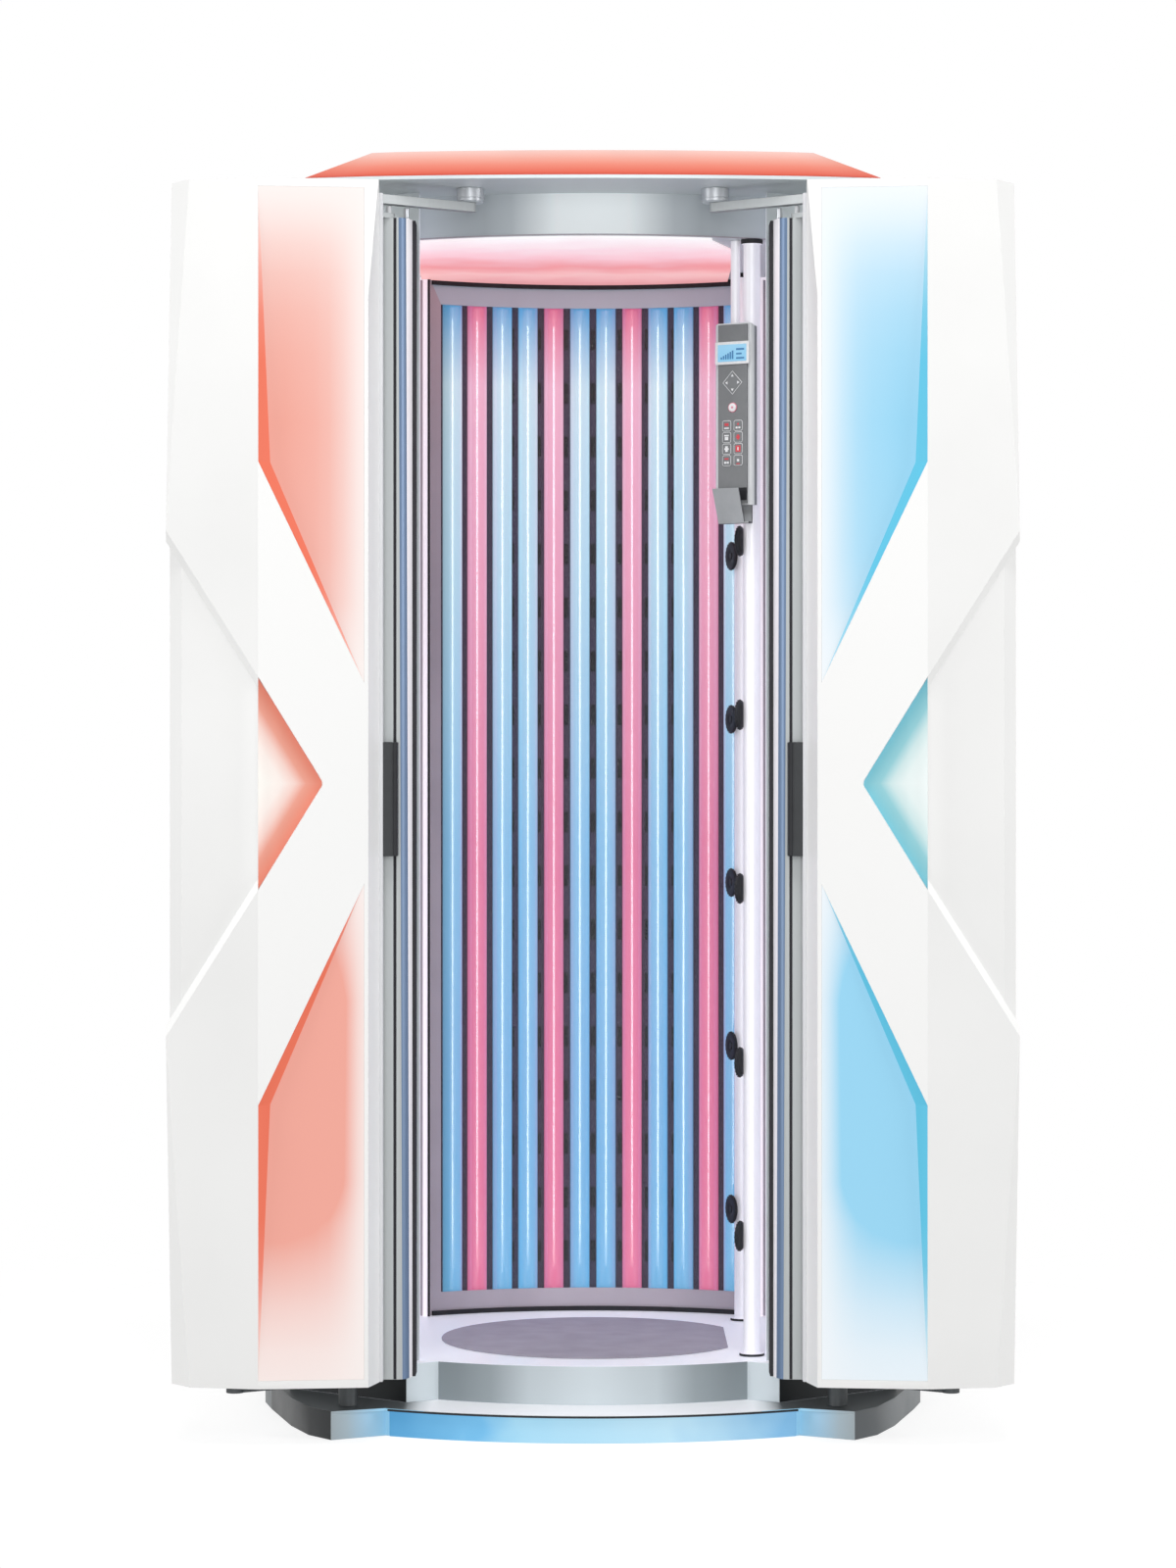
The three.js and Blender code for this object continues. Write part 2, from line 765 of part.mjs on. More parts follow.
// Accessory tray under the unit: back, floor and a front plate that leans towards the user
function makeTray(half) {
  const low = -unitHeight - trayDrop;
  const left = unitRound - half;
  const right = half - unitRound;
  const back = box([left, unitDepth - sheet, low], [right, unitDepth, bite - unitHeight]);
  const floor = box([left, 0, low], [right, unitDepth, low + traySheet]);
  const ends = [];
  for (const x of [left, left + trayWidth]) {
    ends.push([x, 0, low], [x, traySheet, low]);
    ends.push([x, -trayReach, low + trayHeight], [x, traySheet - trayReach, low + trayHeight]);
  }
  return join(back, floor, hull(ends));
}

// Outlines on the unit's face, in x and z
const face = {
  display: rectangle(0, -displayDrop - displayHeight / 2, plateWidth - 3, displayHeight),
  nav: [
    [0, -navDrop - navSize / 2],
    [navSize / 2, -navDrop],
    [0, -navDrop + navSize / 2],
    [-navSize / 2, -navDrop],
  ],
  start: arc(0, -startDrop, startDiameter / 2, 0, 345, 23),
};
for (let i = 0; i < 2 * keyRows; i += 1) {
  const x = (i % 2 ? 0.5 : -0.5) * keyPitchX;
  const z = -keyDrop - keyPitchZ * (Math.floor(i / 2) + 0.5);
  face["key" + (i + 1)] = rectangle(x, z, keyWidth, keyHeight);
}

function rectangle(x, z, width, height) {
  return [
    [x - width / 2, z - height / 2],
    [x + width / 2, z - height / 2],
    [x + width / 2, z + height / 2],
    [x - width / 2, z + height / 2],
  ];
}

// A plate standing on the unit's face: an x-z outline between two depths in front of it
function facePlate(points, back, front) {
  const geometry = new THREE.ExtrudeGeometry(shapeOf(points), { depth: front - back, bevelEnabled: false });
  geometry.rotateX(Math.PI / 2);
  geometry.translate(0, -back, 0);
  return solid(geometry);
}

function makeKeypadPlate() {
  const height = unitHeight - 2 * plateMargin;
  const outline = rectangle(0, -unitHeight / 2, plateWidth, height);
  let plate = facePlate(outline, gap, gap + plateThickness);
  for (const points of Object.values(face)) {
    plate = plate.subtract(facePlate(inset(points, -gap), -bite, 2 * plateThickness));
  }
  return plate;
}

// Upper arm: a flat bar with a pin up into the canopy boss and a pin down into the door
function makeTopArm() {
  const end = armEnd(topPivotX, topPivotY);
  const plate = armPlate(topPivotX, topPivotY, end, armBottom, armTop);
  const upPin = bar(topPivotX, topPivotY, pinDiameter, armTop - bite, soffitZ - 2 * gap, 16);
  const downPin = bar(end[0], end[1], pinDiameter, profileTop - pinDepth, armBottom + bite, 16);
  return join(plate, upPin, downPin);
}

// Lower arm: carried on a post of the base, its free end follows the door
function makeLowerArm() {
  const end = armEnd(lowerPivotX, lowerPivotY);
  const high = doorBottom - runningGap;
  const low = high - lowerArmThickness;
  const plate = armPlate(lowerPivotX, lowerPivotY, end, low, high);
  const post = bar(lowerPivotX, lowerPivotY, lowerPostDiameter, baseHeight + gap, low + bite);
  const head = bar(end[0], end[1], 1.5 * armWidth, low, high);
  return join(plate, post, head);
}

function armEnd(x, y) {
  const angle = radians(armAngle);
  return [x + armLength * Math.cos(angle), y + armLength * Math.sin(angle)];
}

// A bar with round ends between two points in plan
function armPlate(x, y, end, low, high) {
  const radius = armWidth / 2;
  const points = [
    ...arc(x, y, radius, armAngle + 90, armAngle + 270, 8),
    ...arc(end[0], end[1], radius, armAngle - 90, armAngle + 90, 8),
  ];
  return prism(points, low, high);
}

// Outer front facet of the door: its slope in plan
const outerSlope = (doorOuterCrease[1] - doorCrease[1]) / (doorOuterCrease[0] - doorCrease[0]);

// Door outline in plan, anticlockwise, with the outer side moved out by a share of the flare
function doorOutline(share) {
  const flare = share * doorFlare;
  const creaseMove = share * creaseFlare;
  return [
    doorInner,
    [doorOuterBack[0] - flare, doorOuterBack[1]],
    [doorOuter[0] - flare, doorOuter[1]],
    [doorOuterCrease[0] - creaseMove, doorOuterCrease[1] - creaseMove * outerSlope],
    doorCrease,
    doorInnerCrease,
  ];
}

// The door as one solid block, flared at the notch, with a small facet at its inner top corner
function doorBlock(low, high) {
  const at = (z, share) => doorOutline(share).map(([x, y]) => [x, y, z]);
  const main = hull([
    ...at(low, 0),
    ...at(doorMid - notchReach, 1),
    ...at(doorMid + notchReach, 1),
    ...at(high, 0),
  ]);
  const corner = hull([
    [...doorInnerCrease, high - cornerDrop],
    [...doorInnerCrease, high],
    [doorInnerCrease[0] + cornerReach, doorInnerCrease[1] + 1, high],
    [...doorInner, high],
    [doorCrease[0], doorInner[1], high - cornerDrop],
    [doorCrease[0], doorInner[1], high],
  ]);
  return main.add(corner);
}

// Room of the side notch: it slopes in from the front facet and runs round the outer side
function notchRoom() {
  const far = 2 * sideX;
  const at = (depth, reach) => {
    const shrink = (notchRun * depth) / notchDepth;
    const ends = [];
    const edge = doorOuter[0] - doorFlare;
    for (const [x, tall] of [[doorCrease[0], diamondReach], [edge, notchReach], [edge - beyond, notchReach]]) {
      const y = doorCrease[1] + (x - doorCrease[0]) * outerSlope + depth + reach;
      ends.push([x, y, doorMid + tall - shrink], [x, y, doorMid - tall + shrink]);
    }
    return ends;
  };
  const sloped = hull([...at(-notchDepth, 0), ...at(notchDepth, 0)]);
  const straight = hull([...at(notchDepth, 0), ...at(notchDepth, far)]);
  const creaseY = doorCrease[1] + (notchCreaseX - doorCrease[0]) * outerSlope + notchDepth;
  const keep = [
    [doorCrease[0], doorCrease[1] + notchDepth],
    [doorCrease[0], far],
    [notchSide[0], far],
    notchSide,
    [notchCreaseX, creaseY],
  ];
  return join(sloped, straight).subtract(prism(keep.reverse(), doorBottom - beyond, doorTop + beyond));
}

// A point on the inner front facet: along it from the inner crease, at a height, sunk by a depth
const facetRun = [doorCrease[0] - doorInnerCrease[0], doorCrease[1] - doorInnerCrease[1]];
const facetLength = Math.hypot(...facetRun);
const facetStep = [facetRun[0] / facetLength, facetRun[1] / facetLength];
function onFacet(along, z, depth) {
  return [
    doorInnerCrease[0] + along * facetStep[0] + depth * facetStep[1],
    doorInnerCrease[1] + along * facetStep[1] - depth * facetStep[0],
    z,
  ];
}

// Direction of the inner side of the door, from its back edge to the front, and its usable run
const sideRun = [doorInnerCrease[0] - doorInner[0], doorInnerCrease[1] - doorInner[1]];
const sideLength = Math.hypot(...sideRun);
const sideStep = [sideRun[0] / sideLength, sideRun[1] / sideLength];
const sideFace = [doorInner[0] - doorSide, doorInner[1]];
const sideOff = [sideFace[0] - doorInnerCrease[0], sideFace[1] - doorInnerCrease[1]];
const sideDepth = sideOff[0] * facetStep[1] - sideOff[1] * facetStep[0];
const sideSink = sideStep[1] * facetStep[0] - sideStep[0] * facetStep[1];
const sideReach = (sideDepth - doorSkin) / sideSink;

// A block on the facet: an outline in along and height between two depths
function facetBlock(points, from, to) {
  const ends = [];
  for (const [along, z] of points) {
    ends.push(onFacet(along, z, from), onFacet(along, z, to));
  }
  return hull(ends);
}

// The three lit recesses: outline on the facet, and the deep corner of the two tall ones
function litRecesses() {
  const crease = facetLength - gap;
  const inner = recessMargin / 2;
  const tall = (sign) => {
    const end = sign > 0 ? doorTop - recessMargin : doorBottom + recessMargin;
    const outline = [
      [crease, end],
      [inner, end],
      [inner, doorMid + sign * bandReach],
      [crease, doorMid + sign * chevronReach],
    ];
    return { outline, deep: [crease - recessRun, doorMid + sign * chevronReach] };
  };
  const tipAngle = Math.atan2(diamondReach, diamondWidth);
  const tipTurn = 90 - THREE.MathUtils.radToDeg(tipAngle);
  const tipX = crease - diamondWidth + diamondTip / Math.sin(tipAngle);
  const diamond = [
    [crease, doorMid - diamondReach],
    [crease, doorMid + diamondReach],
    ...arc(tipX, doorMid, diamondTip, 180 - tipTurn, 180 + tipTurn, 5),
  ];
  return [tall(1), tall(-1), { outline: diamond, deep: null }];
}

// The room cut out in front of a lit recess
function recessRoom({ outline, deep }) {
  const proud = sheet;
  if (!deep) {
    return facetBlock(outline, -proud, recessDepth);
  }
  const ends = outline.map(([along, z]) => onFacet(along, z, 0));
  const outside = outline.map(([along, z]) => onFacet(along, z, -proud));
  return hull([...ends, ...outside, onFacet(deep[0], deep[1], recessDepth)]);
}

// An outline drawn in towards its middle by a distance at each edge
function shrunk(outline, distance) {
  const area = THREE.ShapeUtils.area(outline.map(([x, y]) => new THREE.Vector2(x, y)));
  return inset(outline, area > 0 ? distance : -distance);
}

// Door shell: an open-backed box with a thick front skin, windows and a side notch
function makeDoorShell() {
  const walls = doorOutline(0);
  const [inner, outerBack, outer, outerCrease, crease] = walls;
  const room = [
    [inner[0] - doorSide, inner[1] + beyond],
    [outerBack[0] + doorSide, outerBack[1] + beyond],
    [outer[0] + doorSide, outer[1]],
    [outerCrease[0] + doorSide, outerCrease[1] + doorSkin],
    onFacet(facetLength, 0, doorSkin),
    [sideFace[0] + sideReach * sideStep[0], sideFace[1] + sideReach * sideStep[1]],
    [inner[0] - doorSide, inner[1]],
  ];
  const hollow = prism(room, doorBottom + doorSide, doorTop - doorSide);
  let shell = doorBlock(doorBottom, doorTop).subtract(hollow).subtract(notchRoom());
  for (const recess of litRecesses()) {
    shell = shell.subtract(recessRoom(recess));
    shell = shell.subtract(facetBlock(recess.outline, -bite, 2 * doorSkin));
  }
  return shell;
}

// Door light panel: a backing sheet with raised islands that fill the windows of the shell
function makeDoorLightPanel() {
  const inner = recessMargin + doorSide;
  const outline = [
    [inner, doorBottom + doorSide + gap],
    [facetLength - recessMargin, doorBottom + doorSide + gap],
    [facetLength - recessMargin, doorTop - doorSide - gap],
    [inner, doorTop - doorSide - gap],
  ];
  const back = doorSkin + gap;
  let panel = facetBlock(outline, back, back + panelBacking);
  for (const recess of litRecesses()) {
    const island = facetBlock(shrunk(recess.outline, gap), 0, back + bite);
    panel = panel.add(island.subtract(recessRoom(recess)));
  }
  return panel;
}

// Door edge profile: front strip, bullnose, tongue into the shell and the hinge bracket
function makeEdgeProfile() {
  const bull = new THREE.CubicBezierCurve(
    new THREE.Vector2(stripRight, stripFront),
    new THREE.Vector2(stripRight + noseStart, stripFront),
    new THREE.Vector2(noseX, stripFront + noseTurn),
    new THREE.Vector2(noseX, stripFront + noseRun),
  );
  const outline = [
    [stripLeft, stripFront],
    ...bull.getPoints(6).map((point) => [point.x, point.y]),
    [noseX, noseBack],
    [stripRight + profileWall, noseBack],
    [stripLeft, noseBack - backSlant],
  ];
  const chamber = prism(inset(outline, profileWall), doorBottom - bite, profileTop + bite);
  const body = prism(outline, doorBottom, profileTop).subtract(chamber);
  const pin = armEnd(topPivotX, topPivotY);
  const start = [stripLeft + bracketInset, stripFront + bracketInset];
  const turn = THREE.MathUtils.radToDeg(Math.atan2(pin[1] - start[1], pin[0] - start[0]));
  const bracketOutline = [
    ...arc(pin[0], pin[1], bracketWidth * 0.75, turn - 70, turn + 70, 8),
    ...arc(start[0], start[1], bracketWidth / 2, turn + 90, turn + 270, 8),
  ];
  const bracket = prism(bracketOutline, profileTop - bite, profileTop + bracketThickness);
  const bore = bar(pin[0], pin[1], pinDiameter + 2 * gap, profileTop - beyond, profileTop + beyond, 16);
  return join(body, makeTongue(), bracket).subtract(bore);
}

// Tongue of the edge profile, along the inside of the shell's inner side
function makeTongue() {
  const seat = [sideFace[0] - 2 * gap, sideFace[1]];
  const tip = [seat[0] + sideStep[0] * tongueLength, seat[1] + sideStep[1] * tongueLength];
  const front = stripFront + tongueThickness;
  const outline = [
    [stripLeft + bite, front],
    [stripLeft + bite, front + 2 * tongueThickness],
    [seat[0] - tongueThickness, front + 2 * tongueThickness],
    [tip[0] - tongueThickness, tip[1]],
    tip,
    [seat[0], front - 1.5 * tongueThickness],
  ];
  return prism(outline, doorBottom + doorSide + gap, profileTop);
}

// Door handle: a grip block on the front strip
function makeHandle() {
  const low = doorMid - handleDrop - handleHeight / 2;
  const back = stripFront - gap;
  const outline = [
    [stripLeft, back],
    [stripLeft, back - handleReach],
    [stripLeft + handleWidth * 0.75, back - handleReach],
    [stripLeft + handleWidth, back - handleReach * 0.6],
    [stripLeft + handleWidth, back],
  ];
  return prism(outline, low, low + handleHeight);
}

// Door lamp bank: reflector tray with its tubes, closing the back of the door
function makeLampBank() {
  const low = doorBottom + doorSide + gap;
  const high = doorTop - bankTopGap;
  const from = [sideFace[0] - 4 * tongueThickness, doorInner[1] - 2];
  const to = [doorOuter[0] + doorSide + bankThickness / 4, doorOuterBack[1] - 14];
  const run = [to[0] - from[0], to[1] - from[1]];
  const length = Math.hypot(...run);
  const step = [run[0] / length, run[1] / length];
  const back = [step[1], -step[0]];
  const at = (along, out) => [
    from[0] + along * step[0] + out * back[0],
    from[1] + along * step[1] + out * back[1],
  ];
  const points = [at(0, 0)];
  const pitch = length / bankLampCount;
  for (let i = 0; i < bankLampCount; i += 1) {
    const middle = (i + 0.5) * pitch;
    for (let k = 0; k <= 6; k += 1) {
      const angle = (Math.PI * k) / 6;
      const radius = bankLampDiameter / 2;
      points.push(at(middle - radius * Math.cos(angle), radius * Math.sin(angle)));
    }
  }
  points.push(at(length, 0), at(length, -bankThickness), at(0, -bankThickness));
  const turned = THREE.ShapeUtils.area(points.map(([x, y]) => new THREE.Vector2(x, y))) < 0;
  return prism(turned ? points.reverse() : points, low, high);
}

// Fan rotor: hub and blades, turning on the shaft of the canopy
function makeFan() {
  const low = soffitZ + soffitThickness + fanSeat + gap;
  const high = low + fanHeight - gap;
  const pieces = [bar(0, fanY, 2 * fanHubRadius, low, high)];
  const inner = fanHubRadius - bladeRoot;
  for (let i = 0; i < fanBladeCount; i += 1) {
    const blade = new THREE.BoxGeometry(fanRadius - inner, bladeThickness, fanHeight - sheet);
    blade.rotateX(radians(bladeTilt));
    blade.translate((fanRadius + inner) / 2, 0, 0);
    blade.rotateZ((2 * Math.PI * i) / fanBladeCount);
    blade.translate(0, fanY, (low + high) / 2);
    pieces.push(solid(blade));
  }
  const bore = bar(0, fanY, 2 * fanShaftRadius + 2 * gap, low - beyond, high + beyond);
  return join(...pieces).subtract(bore);
}

const booth = new THREE.Group();

// Base and cabin
booth.add(meshOf("base_plinth", makeBase(), "greyPaint"));
booth.add(meshOf("base_glow_panel", makeGlowPanel(), "blue"));
booth.add(meshOf("platform", makePlatform(), "greyPaint"));
booth.add(meshOf("floor_mat", makeMat(), "mat"));
booth.add(meshOf("rear_shell", makeRearShell(), "whiteShell"));
const rightWall = meshOf("right_side_wall", makeSideWall(), "greyPaint");
const leftWall = meshOf("left_side_wall", rightWall.geometry.clone(), "greyPaint");
leftWall.scale.x = -1;
booth.add(leftWall, rightWall);

// Rear lamps behind their shield
booth.add(meshOf("rear_lamp_housing", makeLampHousing(), "darkFrame"));
const lampRadius = housingFrontRadius + lampSetBack;
for (let i = 0; i < lampCount; i += 1) {
  const turn = radians(90 - (i - (lampCount - 1) / 2) * lampPitchAngle);
  const lampName = "rear_lamp_" + String(i + 1).padStart(2, "0");
  const lamp = meshOf(lampName, makeLamp(), i % 3 === 1 ? "pink" : "blue");
  lamp.position.set(
    lampRadius * Math.cos(turn),
    lampArcCentreY + lampRadius * Math.sin(turn),
    housingLow + sheet + gap,
  );
  booth.add(lamp);
}
booth.add(meshOf("acrylic_shield", makeShield(), "clear"));

// Canopy
booth.add(meshOf("canopy_frame", makeCanopyFrame(), "greyPaint"));
booth.add(meshOf("ceiling_light_panel", makeCeilingPanel(), "pink"));
booth.add(meshOf("canopy_dome", makeDome(), "coral"));
booth.add(meshOf("fan_rotor", makeFan(), "blackPlastic"));
booth.add(meshOf("ballast_tray", makeBallastTray(), "silver"));

// Uprights and nozzles
booth.add(meshOf("grab_pole", makeGrabPole(), "silver"));
booth.add(meshOf("nozzle_column", makeNozzleColumn(), "silver"));
for (let i = 0; i < nozzleCount; i += 1) {
  const nozzle = meshOf("air_nozzle_" + (i + 1), solid(nozzleGeometry()), "blackPlastic");
  nozzle.position.set(columnX, columnY, nozzleHeight(i));
  nozzle.rotation.z = radians(columnTurn);
  booth.add(nozzle);
}

// Control unit
const unit = new THREE.Group();
unit.position.set(unitX, unitY, ceilingZ - unitDrop);
unit.rotation.z = radians(unitTurn);
unit.add(meshOf("control_housing", makeUnitHousing(), "greyPaint"));
unit.add(meshOf("keypad_plate", makeKeypadPlate(), "keypad"));
unit.add(meshOf("display_lens", facePlate(face.display, gap, plateThickness + 1), "blue"));
const buttonFront = gap + plateThickness + buttonProud;
const buttonBack = buttonFront - buttonThickness;
unit.add(meshOf("nav_pad", facePlate(face.nav, buttonBack, buttonFront), "keypad"));
unit.add(meshOf("start_button", facePlate(face.start, buttonBack, buttonFront), "whiteShell"));
for (let i = 1; i <= 2 * keyRows; i += 1) {
  unit.add(meshOf("key_" + i, facePlate(face["key" + i], buttonBack, buttonFront), "blackPlastic"));
}
booth.add(unit);

// Doors and their arms: the right side mirrors the left
const doorPieces = {
  top_arm: [makeTopArm(), "silver"],
  lower_arm: [makeLowerArm(), "silver"],
  door_shell: [makeDoorShell(), "whiteShell"],
  door_light_panel: [makeDoorLightPanel(), "coral"],
  door_edge_profile: [makeEdgeProfile(), "silver"],
  door_handle: [makeHandle(), "blackPlastic"],
  door_lamp_bank: [makeLampBank(), "clear"],
};
for (const [side, sign] of [["left", 1], ["right", -1]]) {
  const door = new THREE.Group();
  door.scale.x = sign;
  for (const [name, [made, finish]] of Object.entries(doorPieces)) {
    const litBlue = name === "door_light_panel" && side === "right";
    door.add(meshOf(side + "_" + name, made, litBlue ? "blue" : finish));
  }
  booth.add(door);
}

export default booth;
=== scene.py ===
import math

import bpy
from mathutils import Matrix, Vector


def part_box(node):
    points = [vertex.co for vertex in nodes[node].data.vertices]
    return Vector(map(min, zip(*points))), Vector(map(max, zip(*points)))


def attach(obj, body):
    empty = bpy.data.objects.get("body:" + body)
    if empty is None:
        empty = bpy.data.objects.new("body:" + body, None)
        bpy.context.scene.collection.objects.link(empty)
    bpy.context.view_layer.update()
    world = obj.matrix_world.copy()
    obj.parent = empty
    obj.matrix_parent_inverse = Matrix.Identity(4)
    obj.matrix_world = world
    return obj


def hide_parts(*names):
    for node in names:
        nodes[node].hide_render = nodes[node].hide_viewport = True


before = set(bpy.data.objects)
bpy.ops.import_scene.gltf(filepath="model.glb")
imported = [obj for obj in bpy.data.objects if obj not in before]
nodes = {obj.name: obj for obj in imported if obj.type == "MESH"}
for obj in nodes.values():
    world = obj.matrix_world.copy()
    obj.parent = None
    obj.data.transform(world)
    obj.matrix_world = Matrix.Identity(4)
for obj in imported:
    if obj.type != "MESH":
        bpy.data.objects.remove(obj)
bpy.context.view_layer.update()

print("frame loaded:", len(nodes), "nodes")


# camera at the photograph's viewpoint: level, in front of the doorway
cameraSetup = {"place": (0, -7.70, 1.126), "lens": 94.5, "sensor": 36, "shift": (-5 / 1600, 6 / 1600)}

bpy.ops.object.camera_add(location=cameraSetup["place"], rotation=(math.radians(90), 0, 0))
camera = bpy.context.object
camera.data.lens = cameraSetup["lens"]
camera.data.sensor_width = cameraSetup["sensor"]
camera.data.shift_x, camera.data.shift_y = cameraSetup["shift"]
bpy.context.scene.camera = camera
bpy.context.scene.view_settings.view_transform = "Standard"
print("camera set")


# small helpers for selecting, shaping and finishing
def deselectAll():
    if bpy.context.mode != "OBJECT":
        bpy.ops.object.mode_set(mode="OBJECT")
    bpy.ops.object.select_all(action="DESELECT")


def makeActive(piece):
    deselectAll()
    piece.select_set(True)
    bpy.context.view_layer.objects.active = piece


def applyPlace(piece):
    makeActive(piece)
    bpy.ops.object.transform_apply(location=True, rotation=True, scale=True)


def useModifier(piece, kind, **settings):
    makeActive(piece)
    modifier = piece.modifiers.new(kind.lower(), kind)
    for key, value in settings.items():
        setattr(modifier, key, value)
    bpy.ops.object.modifier_apply(modifier=modifier.name)


def roundEdges(piece, width, segments=2, angle=30):
    useModifier(piece, "BEVEL", width=width, segments=segments, limit_method="ANGLE",
                angle_limit=math.radians(angle))


# leaves the piece in edit mode with the wanted faces selected
def selectFaces(piece, wanted):
    makeActive(piece)
    bpy.ops.object.mode_set(mode="EDIT")
    bpy.ops.mesh.select_mode(type="FACE")
    bpy.ops.mesh.select_all(action="DESELECT")
    bpy.ops.object.mode_set(mode="OBJECT")
    for face in piece.data.polygons:
        face.select = wanted(face.center, face.normal)
    bpy.ops.object.mode_set(mode="EDIT")


def paintFaces(piece, slot, wanted):
    for face in piece.data.polygons:
        if wanted(face.center, face.normal):
            face.material_index = slot


def addBlock(name, low, high):
    deselectAll()
    bpy.ops.mesh.primitive_cube_add(size=1, location=[(a + b) / 2 for a, b in zip(low, high)])
    piece = bpy.context.object
    piece.name = name
    piece.scale = [b - a for a, b in zip(low, high)]
    applyPlace(piece)
    return piece


# a turned shape: a disc extruded and scaled from ring to ring, each given as radius and height
def addTurned(name, rings, sides=48):
    deselectAll()
    bpy.ops.mesh.primitive_circle_add(vertices=sides, radius=rings[0][0], fill_type="NGON", location=(0, 0, rings[0][1]))
    piece = bpy.context.object
    piece.name = name
    applyPlace(piece)
    bpy.ops.object.mode_set(mode="EDIT")
    bpy.ops.mesh.select_all(action="SELECT")
    for (lastRadius, lastHeight), (radius, height) in zip(rings, rings[1:]):
        bpy.ops.mesh.extrude_region_move(TRANSFORM_OT_translate={"value": (0, 0, height - lastHeight)})
        bpy.ops.transform.resize(value=(radius / lastRadius, radius / lastRadius, 1), center_override=(0, 0, height))
    bpy.ops.mesh.select_all(action="SELECT")
    bpy.ops.mesh.normals_make_consistent(inside=False)
    bpy.ops.object.mode_set(mode="OBJECT")
    return piece


# a block with the four edges along one axis rounded
def addSlab(name, low, high, corner, axis, segments=5):
    piece = addBlock(name, low, high)
    makeActive(piece)
    bpy.ops.object.mode_set(mode="EDIT")
    bpy.ops.mesh.select_mode(type="EDGE")
    bpy.ops.mesh.select_all(action="DESELECT")
    bpy.ops.object.mode_set(mode="OBJECT")
    points = piece.data.vertices
    for edge in piece.data.edges:
        run = points[edge.vertices[0]].co - points[edge.vertices[1]].co
        edge.select = abs(run[axis]) > 0.99 * run.length
    bpy.ops.object.mode_set(mode="EDIT")
    bpy.ops.mesh.bevel(offset=corner, segments=segments, affect="EDGES")
    bpy.ops.object.mode_set(mode="OBJECT")
    return piece


def placePiece(piece, matrix):
    piece.matrix_world = matrix
    applyPlace(piece)
    return piece


# a left-hand box, or its mirror image on the right
def onSide(sign, low, high):
    if sign > 0:
        return low, high
    return (-high[0], low[1], low[2]), (-low[0], high[1], high[2])


# a four-cornered section, given as radius and height, swept round an upright axis
def addSweep(name, section, centre, start, end, steps):
    deselectAll()
    bpy.ops.mesh.primitive_plane_add(size=1)
    piece = bpy.context.object
    piece.name = name
    angle = math.radians(start)
    for vertex, corner in zip(piece.data.vertices, (0, 1, 3, 2)):
        radius, height = section[corner]
        vertex.co = (centre[0] + radius * math.cos(angle), centre[1] + radius * math.sin(angle), height)
    bpy.ops.object.mode_set(mode="EDIT")
    bpy.ops.mesh.select_all(action="SELECT")
    bpy.ops.mesh.spin(steps=steps, angle=math.radians(end - start), center=(*centre, 0), axis=(0, 0, -1))
    bpy.ops.mesh.select_all(action="SELECT")
    bpy.ops.mesh.remove_doubles(threshold=0.00001)
    bpy.ops.mesh.normals_make_consistent(inside=False)
    bpy.ops.object.mode_set(mode="OBJECT")
    applyPlace(piece)
    return piece


# a copy of a CAD node's mesh with its loose triangles joined
def copyNode(node, name):
    piece = bpy.data.objects.new(name, nodes[node].data.copy())
    bpy.context.scene.collection.objects.link(piece)
    piece.data.materials.clear()
    makeActive(piece)
    bpy.ops.object.mode_set(mode="EDIT")
    bpy.ops.mesh.select_all(action="SELECT")
    bpy.ops.mesh.customdata_custom_splitnormals_clear()
    bpy.ops.mesh.remove_doubles(threshold=0.00002)
    bpy.ops.object.mode_set(mode="OBJECT")
    return piece


def copyPiece(piece, name, matrix):
    twin = bpy.data.objects.new(name, piece.data.copy())
    bpy.context.scene.collection.objects.link(twin)
    return placePiece(twin, matrix)


def joinPieces(pieces):
    makeActive(pieces[0])
    for piece in pieces:
        piece.select_set(True)
    bpy.ops.object.join()
    return bpy.context.object


def wear(piece, *materials):
    piece.data.materials.clear()
    for material in materials:
        piece.data.materials.append(material)


def finishPiece(piece, body, stands=(), angle=38):
    makeActive(piece)
    bpy.ops.object.shade_smooth_by_angle(angle=math.radians(angle))
    useModifier(piece, "WEIGHTED_NORMAL", keep_sharp=True)
    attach(piece, body)
    if stands:
        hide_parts(*stands)
    return piece


# one node with its settings, fixed inputs and links
def addNode(tree, kind, settings=None, inputs=None):
    node = tree.nodes.new(kind)
    for key, value in (settings or {}).items():
        setattr(node, key, value)
    for socket, value in (inputs or {}).items():
        if isinstance(value, bpy.types.NodeSocket):
            tree.links.new(value, node.inputs[socket])
        else:
            node.inputs[socket].default_value = value
    return node


# "#rrggbb" in sRGB to linear RGBA
def toLinear(colour):
    parts = [int(colour[i:i + 2], 16) / 255 for i in (1, 3, 5)]
    return [p / 12.92 if p <= 0.04045 else ((p + 0.055) / 1.055) ** 2.4 for p in parts] + [1]


def startMaterial(name, colour, roughness, metallic=0.0):
    material = bpy.data.materials.new(name)
    material.use_nodes = True
    shader = material.node_tree.nodes["Principled BSDF"]
    shader.inputs["Base Color"].default_value = toLinear(colour)
    shader.inputs["Roughness"].default_value = roughness
    shader.inputs["Metallic"].default_value = metallic
    return material


def setRamp(ramp, stops):
    elements = ramp.color_ramp.elements
    while len(elements) < len(stops):
        elements.new(0.5)
    for element, (place, colour) in zip(elements, stops):
        element.position = place
        element.color = colour if not isinstance(colour, str) else toLinear(colour)


